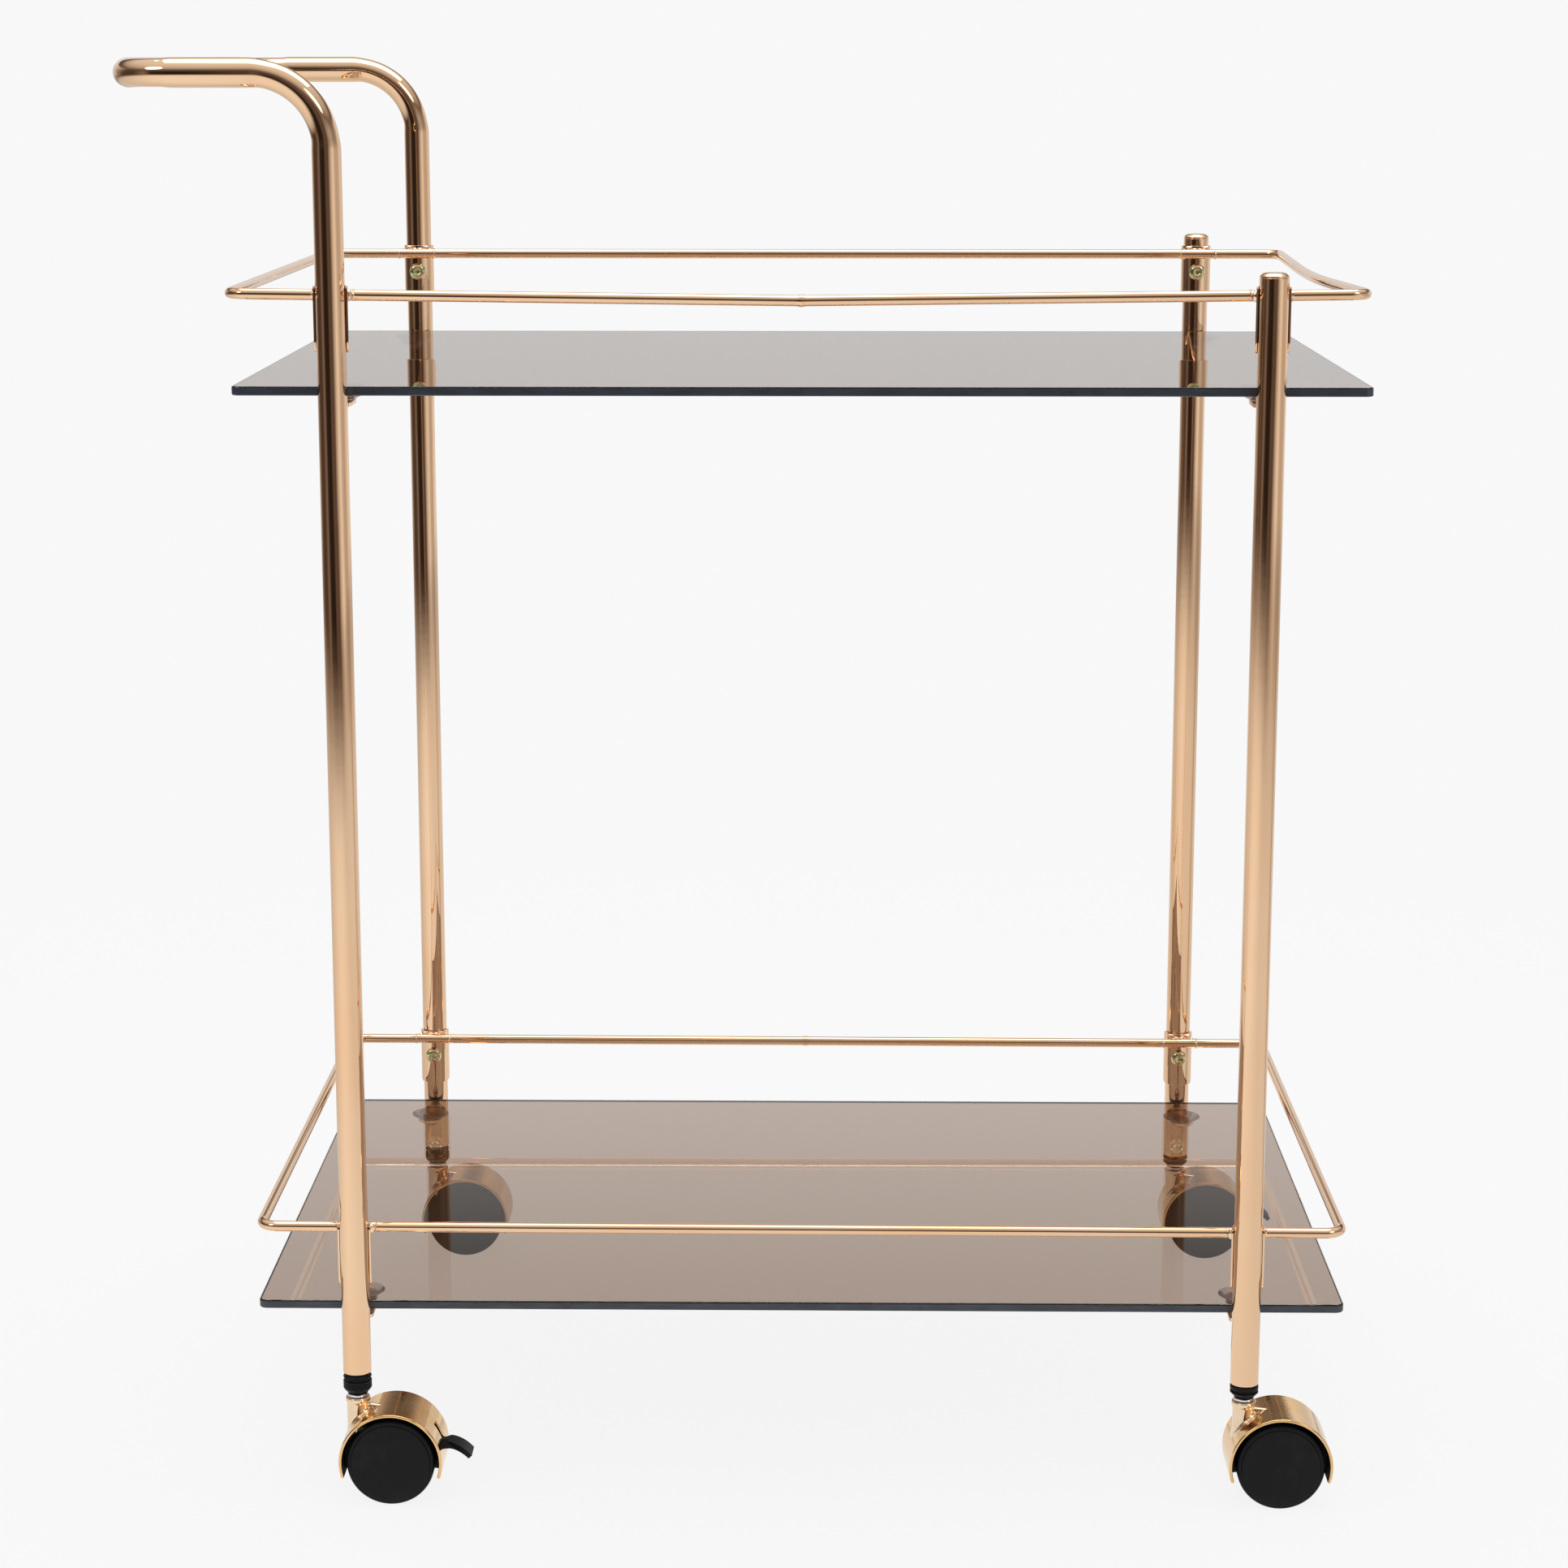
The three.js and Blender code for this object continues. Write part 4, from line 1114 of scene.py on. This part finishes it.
class CART_OT_cast_hoods(bpy.types.Operator):
    """Casts the caster bodies: a plated hood, the stem's boss, a gusset and the web between the wheels"""

    bl_idname = "cart.cast_hoods"
    bl_label = "Caster Bodies"

    def execute(self, context):
        for corner in CORNERS:
            low, high = node_box(f"caster_body_{corner}")
            axle = node_middle(f"axle_{corner}")
            stem = post_axis(corner)
            turn = moved(*axle)
            braked = corner in BRAKED
            bm = bmesh.new()
            hood_sheet(bm, turn, braked)
            first = len(bm.faces)
            self.web(bm, turn, braked)
            # the web between the wheels takes the near-black painted shade too
            paint(bm, first, PAINTED_SHADE_SLOT)
            make_piece(f"{corner}_caster_body", bm, f"{corner}_caster", [f"caster_body_{corner}"],
                       [hood_plating(), dark_casting()],
                       smooth_angle=32, bevel=0.8, bevel_steps=4)
            bm = bmesh.new()
            self.boss(bm, turn, stem.x - axle.x, high.z - axle.z)
            make_piece(f"{corner}_caster_boss", bm, f"{corner}_caster", [], [boss_plating_painted_highlight()])
            carried(f"axle_{corner}", bright_steel())
        return {"FINISHED"}

    def boss(self, bm, turn, x, top):
        profile = filleted(flat([
            (3.4, 12), (3.4, top - 3), (5.2, top - 1.6), (5.2, top), (7.0, top), (7.0, top - 2.6),
            (6.3, top - 3.8), (6.3, 12),
        ]), [0, 0.4, 0.5, 0.4, 0.9, 0.9, 0.9, 0], 5)
        outline = [(p.x, p.y) for p in profile]
        spun(bm, [*outline, outline[0]], 48, turn @ moved(x, 0, 0))
        self.fillet(bm, turn, x)
        rib = flat([(x + 3, 20), (-6, 25), (-6, 27.0), (x + 6, top - 6.5), (x + 3, top - 6.5)])
        pushed(bm, [(p.x, p.y) for p in rib], -1.5, 1.5, turn @ across())
        ridge = filleted([(x + 3, 0, top - 5.6), (x + 6, 0, top - 5.9), (-5, 0, 27.0)], 4, 8)
        sweep(bm, [turn @ p for p in ridge], 1.6, 20, start_side=Vector((0, 1, 0)))

    def fillet(self, bm, turn, x):
        """The lumpy round root of the boss, from its side out onto the hood."""
        uv = bm.loops.layers.uv.verify()
        radius, stations = 6.2, 72

        def on_hood(direction, out, lift):
            px = max(x + out * direction.x, -HOOD_R + 1.3)
            return Vector((px, out * direction.y, math.sqrt(HOOD_R ** 2 - px ** 2) + lift))

        rings = []
        for k in range(stations):
            angle = 2 * math.pi * k / stations
            direction = Vector((math.cos(angle), math.sin(angle), 0))
            size = 2.7 * (1 + 0.3 * noise.noise(direction * 1.8 + Vector((x, 0, 0))))
            foot = on_hood(direction, radius + size, 0.05)
            heel = on_hood(direction, radius, 0.1)
            top = heel + Vector((0, 0, size))
            steps = [n / 8 for n in range(9)]
            curve = [foot * (1 - t) ** 2 + heel * 2 * t * (1 - t) + top * t * t for t in steps]
            under = [on_hood(direction, radius, -0.9), on_hood(direction, radius + size, -0.6)]
            inside = [top - direction, *under]
            rings.append([bm.verts.new(turn @ p) for p in [*curve, *inside]])
        bridge(bm, rings, True, uv, [0.0] * stations)

    def web(self, bm, turn, braked):
        half = 4.4
        start, end = -HOOD_DROP, math.pi + HOOD_DROP
        reach = HOOD_R - 1
        arc = [start + (end - start) * k / 60 for k in range(61)]
        outline = [(reach * math.cos(a), reach * math.sin(a)) for a in arc]
        hub = [math.radians(225 + 90 * k / 12) for k in range(13)]
        outline += [(10 * math.cos(a), 10 * math.sin(a)) for a in hub]
        if not braked:
            pushed(bm, outline, -half, half, turn @ across())
            return
        for low, high in ((-half, -2.6), (2.6, half)):
            pushed(bm, outline, low, high, turn @ across())


class CART_OT_turn_wheels(bpy.types.Operator):
    """Moulds the eight wheels, each a plain disc with a stepped rim and a dished inner side"""

    bl_idname = "cart.turn_wheels"
    bl_label = "Wheels"

    def execute(self, context):
        for corner in CORNERS:
            axle = node_middle(f"axle_{corner}")
            for place in ("outer", "inner"):
                node = f"wheel_{corner}_{place}"
                low, high = node_box(node)
                outward = 1 if (low.y + high.y) / 2 > axle.y else -1
                inner = min(abs(low.y - axle.y), abs(high.y - axle.y))
                outer = max(abs(low.y - axle.y), abs(high.y - axle.y))
                bm = bmesh.new()
                lie = moved(*axle) @ Matrix.Rotation(math.radians(-90 * outward), 4, "X")
                spun(bm, self.profile(inner, outer), 96, lie)
                make_piece(f"{corner}_{place}_wheel", bm, f"{corner}_{place}_wheel", [node],
                           [black_nylon()], smooth_angle=40)
        return {"FINISHED"}

    def profile(self, inner, outer):
        bore = AXLE_R + 0.3
        points = filleted(flat([
            (0, outer), (WHEEL_R - 2.7, outer), (WHEEL_R - 2.3, outer - 0.9), (WHEEL_R - 0.9, outer - 0.9),
            (WHEEL_R, outer - 2.0), (WHEEL_R, inner), (WHEEL_R - 3, inner), (WHEEL_R - 4, inner + 7),
            (9, inner + 7), (8, inner), (bore, inner), (bore, 15.3), (0, 15.3),
        ]), [0, 0.45, 0.3, 0.9, 1.2, 0.5, 0.4, 1.2, 1.2, 0.4, 0.2, 0.2, 0], 5)
        return [(p.x, p.y) for p in points]


class CART_OT_hang_brakes(bpy.types.Operator):
    """Hangs the brake levers, with their curved and flared paddles, on their pins"""

    bl_idname = "cart.hang_brakes"
    bl_label = "Brake Levers"

    def execute(self, context):
        for corner in BRAKED:
            axle = node_middle(f"axle_{corner}")
            pivot = node_middle(f"brake_pin_{corner}") - axle
            tip = node_box(f"brake_lever_{corner}")[1].x - axle.x
            bm = bmesh.new()
            self.lever(bm, moved(*axle), pivot, tip)
            make_piece(f"{corner}_brake_lever", bm, f"{corner}_brake", [f"brake_lever_{corner}"],
                       [black_nylon()], smooth_angle=30, bevel=0.35)
            carried(f"brake_pin_{corner}", bright_steel())
        return {"FINISHED"}

    def lever(self, bm, turn, pivot, tip):
        top, under = [], []
        steps = 16
        for k in range(steps + 1):
            t = k / steps
            x = 29 + (tip - 29) * t
            top.append((x, 8.4 - 0.6 * t - 7.6 * t ** 2.4))
            under.append((30 + (tip - 31.9) * t, 4.3 + 0.1 * t - 6.0 * t ** 2.2))
        back = [(pivot.x + 3.8 * math.cos(a), pivot.z + 3.8 * math.sin(a))
                for a in (math.radians(90 + 180 * k / 16) for k in range(17))]
        outline = [*reversed(top), *back, *under]

        def half_width(x):
            flare = min(1.0, max(0.0, (x - 30.8) / 1.8))
            ease = flare * flare * (3 - 2 * flare)
            return 2.1 + ease * (3.6 + max(0.0, x - 34) / (tip - 34) * 1.1)

        rims = [[bm.verts.new(turn @ Vector((x, side * half_width(x), z))) for x, z in outline]
                for side in (-1, 1)]
        count = len(outline)
        for k in range(count):
            n = (k + 1) % count
            bm.faces.new((rims[0][k], rims[0][n], rims[1][n], rims[1][k]))
        for side in (0, 1):
            face = bm.faces.new(rims[side])
            bmesh.ops.triangulate(bm, faces=[face])


# ---- Studio ---------------------------------------------------------------------------------------


def seen_in_mirror(s):
    """1 for a ray that a mirror has sent out, and 0 for one straight from the camera or through glass."""
    return s.span(s.node("ShaderNodeLightPath", None, None, "Glossy Depth"), 0.0, 1.0)


def around(s, x, y):
    """The bearing of a direction from the cart's front, positive to the right, in radians."""
    return s.node("ShaderNodeMath", {"operation": "ARCTAN2"}, {0: x, 1: y * -1})


def as_turn(s, bearing):
    """A bearing as 0..1, with the cart's front at 0.5."""
    return s.span(bearing, -math.pi, math.pi)


def warm(stops):
    """Stops of a ramp with their brightness turned to a colour: the darker, the redder."""
    coloured = []
    for position, level in stops:
        red = max(0.0, 1 - level / 0.6)
        coloured.append((position, (level, level * (1 - 0.3 * red), level * (1 - 0.42 * red))))
    return coloured


def room(s, turn):
    """How bright the room round the cart is at eye level: dark in front, with lit stretches to the right."""
    return s.ramp(turn, warm([
        (0.0, 0.72), (0.12, 0.42), (0.21, 0.08), (0.285, 0.07), (0.345, 0.21), (0.385, 0.03), (0.46, 0.02),
        (0.50, 0.12), (0.55, 0.10), (0.60, 0.55), (0.65, 0.88), (0.71, 0.54), (0.78, 0.54), (0.87, 0.9),
        (1.0, 0.72),
    ]))


class CART_OT_light_studio(bpy.types.Operator):
    """Lays the pale floor, sets the light and stands the camera"""

    bl_idname = "cart.light_studio"
    bl_label = "Studio"

    def execute(self, context):
        settings = context.scene.cart_studio
        self.floor(settings.brightness)
        self.world(settings.brightness)
        self.overhead()
        self.camera(settings)
        context.scene.view_settings.view_transform = "Standard"
        context.scene.view_settings.look = "None"
        return {"FINISHED"}

    def floor(self, brightness):
        bm = bmesh.new()
        half = 7.0
        square = flat([(-half, -half), (half, -half), (half, half), (-half, half)])
        outline = filleted(square, 2.0, 12, closed=True)
        bm.faces.new([bm.verts.new(p) for p in outline])
        mesh = bpy.data.meshes.new("studio_floor")
        bm.to_mesh(mesh)
        bm.free()
        floor = bpy.data.objects.new("studio_floor", mesh)
        bpy.context.scene.collection.objects.link(floor)
        material = bpy.data.materials.new("studio_floor")
        material.use_nodes = True
        s = Shader(material.node_tree)
        x, y, z = s.parts(s.node("ShaderNodeTexCoord", None, None, "Object"))
        distance = (x * x + y * y) ** 0.5
        paper = s.blend(s.speckle(30, 4), (0.88, 0.88, 0.88, 1), (0.92, 0.92, 0.92, 1))
        lit = s.node("ShaderNodeBsdfDiffuse", None, {"Color": paper})
        turn = as_turn(s, around(s, x, y))
        pool = s.ramp(distance / half, warm([
            (0.15, 0.92), (0.25, 0.90), (0.31, 0.84), (0.38, 0.74), (0.46, 0.50), (0.58, 0.16),
            (0.75, 0.05)]))
        streaks = s.ramp(turn, [
            (0.0, 0.95), (0.14, 0.68), (0.23, 0.77), (0.30, 0.88), (0.37, 0.98), (0.70, 1.0), (0.755, 0.9),
            (0.77, 0.45), (0.79, 0.9), (0.85, 1.0), (1.0, 0.95)])
        shaded = s.dim(pool, streaks * s.span(x, -0.6, 0.6, 1.06, 0.86))
        mirrored = s.blend(s.span(distance, 2.3, 4.8), shaded, room(s, turn))
        plain = (brightness, brightness, brightness, 1)
        glow = s.node("ShaderNodeEmission", None, {"Color": s.blend(seen_in_mirror(s), plain, mirrored)})
        share = s.span(distance, 0.45, 1.5, 0.93, 1.0)
        flooded = s.largest(share, seen_in_mirror(s))
        mixed = s.node("ShaderNodeMixShader", None, {0: flooded, 1: lit, 2: glow})
        s.node("ShaderNodeOutputMaterial", None, {"Surface": mixed})
        mesh.materials.append(material)

    def world(self, brightness):
        """Pale all round. Only mirrors see that the room in front of the cart is dark."""
        world = bpy.data.worlds.new("studio")
        bpy.context.scene.world = world
        world.use_nodes = True
        s = Shader(world.node_tree)
        x, y, z = s.parts(s.node("ShaderNodeTexCoord", None, None, "Generated"))
        azimuth = around(s, x, y)
        height = s.node("ShaderNodeMath", {"operation": "ARCSINE"}, {0: z}) * (2 / math.pi)
        above_front = s.ramp(height, warm([
            (0.13, 0.10), (0.25, 0.22), (0.36, 0.50), (0.55, 0.72), (0.8, 0.85), (1.0, 1.0)]))
        above_back = s.ramp(height, warm([
            (0.06, 0.70), (0.17, 0.86), (0.23, 0.08), (0.3, 0.15), (0.37, 0.45), (0.52, 0.88), (1.0, 1.0)]))
        above = s.blend(s.span(y, 0.1, 0.7), above_front, above_back)
        behind = s.span(y, 0.55, 0.85)
        base = s.blend(s.largest(behind, s.span(height, 0.02, 0.23)), room(s, as_turn(s, azimuth)), above)
        box_azimuth, box_height = 0.80, 0.36
        oval = ((abs(azimuth) - box_azimuth) * 4.6) ** 2 + ((height - box_height) * 9.0) ** 2
        boxes = s.span(oval, 1.15, 0.75, 0.0, 2.6)
        ceiling = s.span(height, 0.78, 0.95, 0.0, 1.8)
        mirrored = s.lighten(base, boxes + ceiling)
        plain = (brightness, brightness, brightness, 1)
        seen = s.blend(seen_in_mirror(s), plain, mirrored)
        background = s.node("ShaderNodeBackground", None, {"Color": seen})
        s.node("ShaderNodeOutputWorld", None, {"Surface": background})

    def overhead(self):
        """One broad soft light above and a little behind, which rims the tubes and the wheels."""
        light = bpy.data.lights.new("overhead_softbox", "AREA")
        light.shape = "RECTANGLE"
        light.size, light.size_y = 2.2, 1.4
        light.energy = 26
        lamp = bpy.data.objects.new("overhead_softbox", light)
        lamp.location = (0.1, 0.3, 2.6)
        bpy.context.scene.collection.objects.link(lamp)

    def camera(self, settings):
        data = bpy.data.cameras.new("camera")
        data.sensor_width = 36
        data.lens = settings.lens
        camera = bpy.data.objects.new("camera", data)
        camera.location = settings.camera_place
        camera.rotation_euler = (math.pi / 2 - settings.camera_pitch, 0, settings.camera_yaw)
        bpy.context.scene.collection.objects.link(camera)
        bpy.context.scene.camera = camera


# ---- Panel and registration -----------------------------------------------------------------------


OPERATORS = (
    CART_OT_light_studio, CART_OT_bend_frame, CART_OT_set_posts, CART_OT_bend_rails, CART_OT_drive_screws,
    CART_OT_lay_glass, CART_OT_press_cups, CART_OT_fit_plugs, CART_OT_cast_hoods, CART_OT_turn_wheels,
    CART_OT_hang_brakes,
)


class CART_PT_build(bpy.types.Panel):
    """Lists the cart's operators and settings"""

    bl_idname = "CART_PT_build"
    bl_label = "Bar Cart"
    bl_space_type = "VIEW_3D"
    bl_region_type = "UI"
    bl_category = "Bar Cart"

    def draw(self, context):
        for operator in OPERATORS:
            self.layout.operator(operator.bl_idname)
        for group in (context.scene.cart_shape, context.scene.cart_finish, context.scene.cart_studio):
            box = self.layout.box()
            for key in group.__annotations__:
                box.prop(group, key)


GROUPS = {"cart_shape": CartShape, "cart_finish": CartFinish, "cart_studio": CartStudio}


def register():
    for group in GROUPS.values():
        bpy.utils.register_class(group)
    for name, group in GROUPS.items():
        setattr(bpy.types.Scene, name, bpy.props.PointerProperty(type=group))
    for operator in OPERATORS:
        bpy.utils.register_class(operator)
    bpy.utils.register_class(CART_PT_build)


def unregister():
    bpy.utils.unregister_class(CART_PT_build)
    for operator in reversed(OPERATORS):
        bpy.utils.unregister_class(operator)
    for name in GROUPS:
        delattr(bpy.types.Scene, name)
    for group in GROUPS.values():
        bpy.utils.unregister_class(group)


def main():
    register()
    for operator in OPERATORS:
        category, verb = operator.bl_idname.split(".")
        getattr(getattr(bpy.ops, category), verb)()


if __name__ == "__main__":
    main()
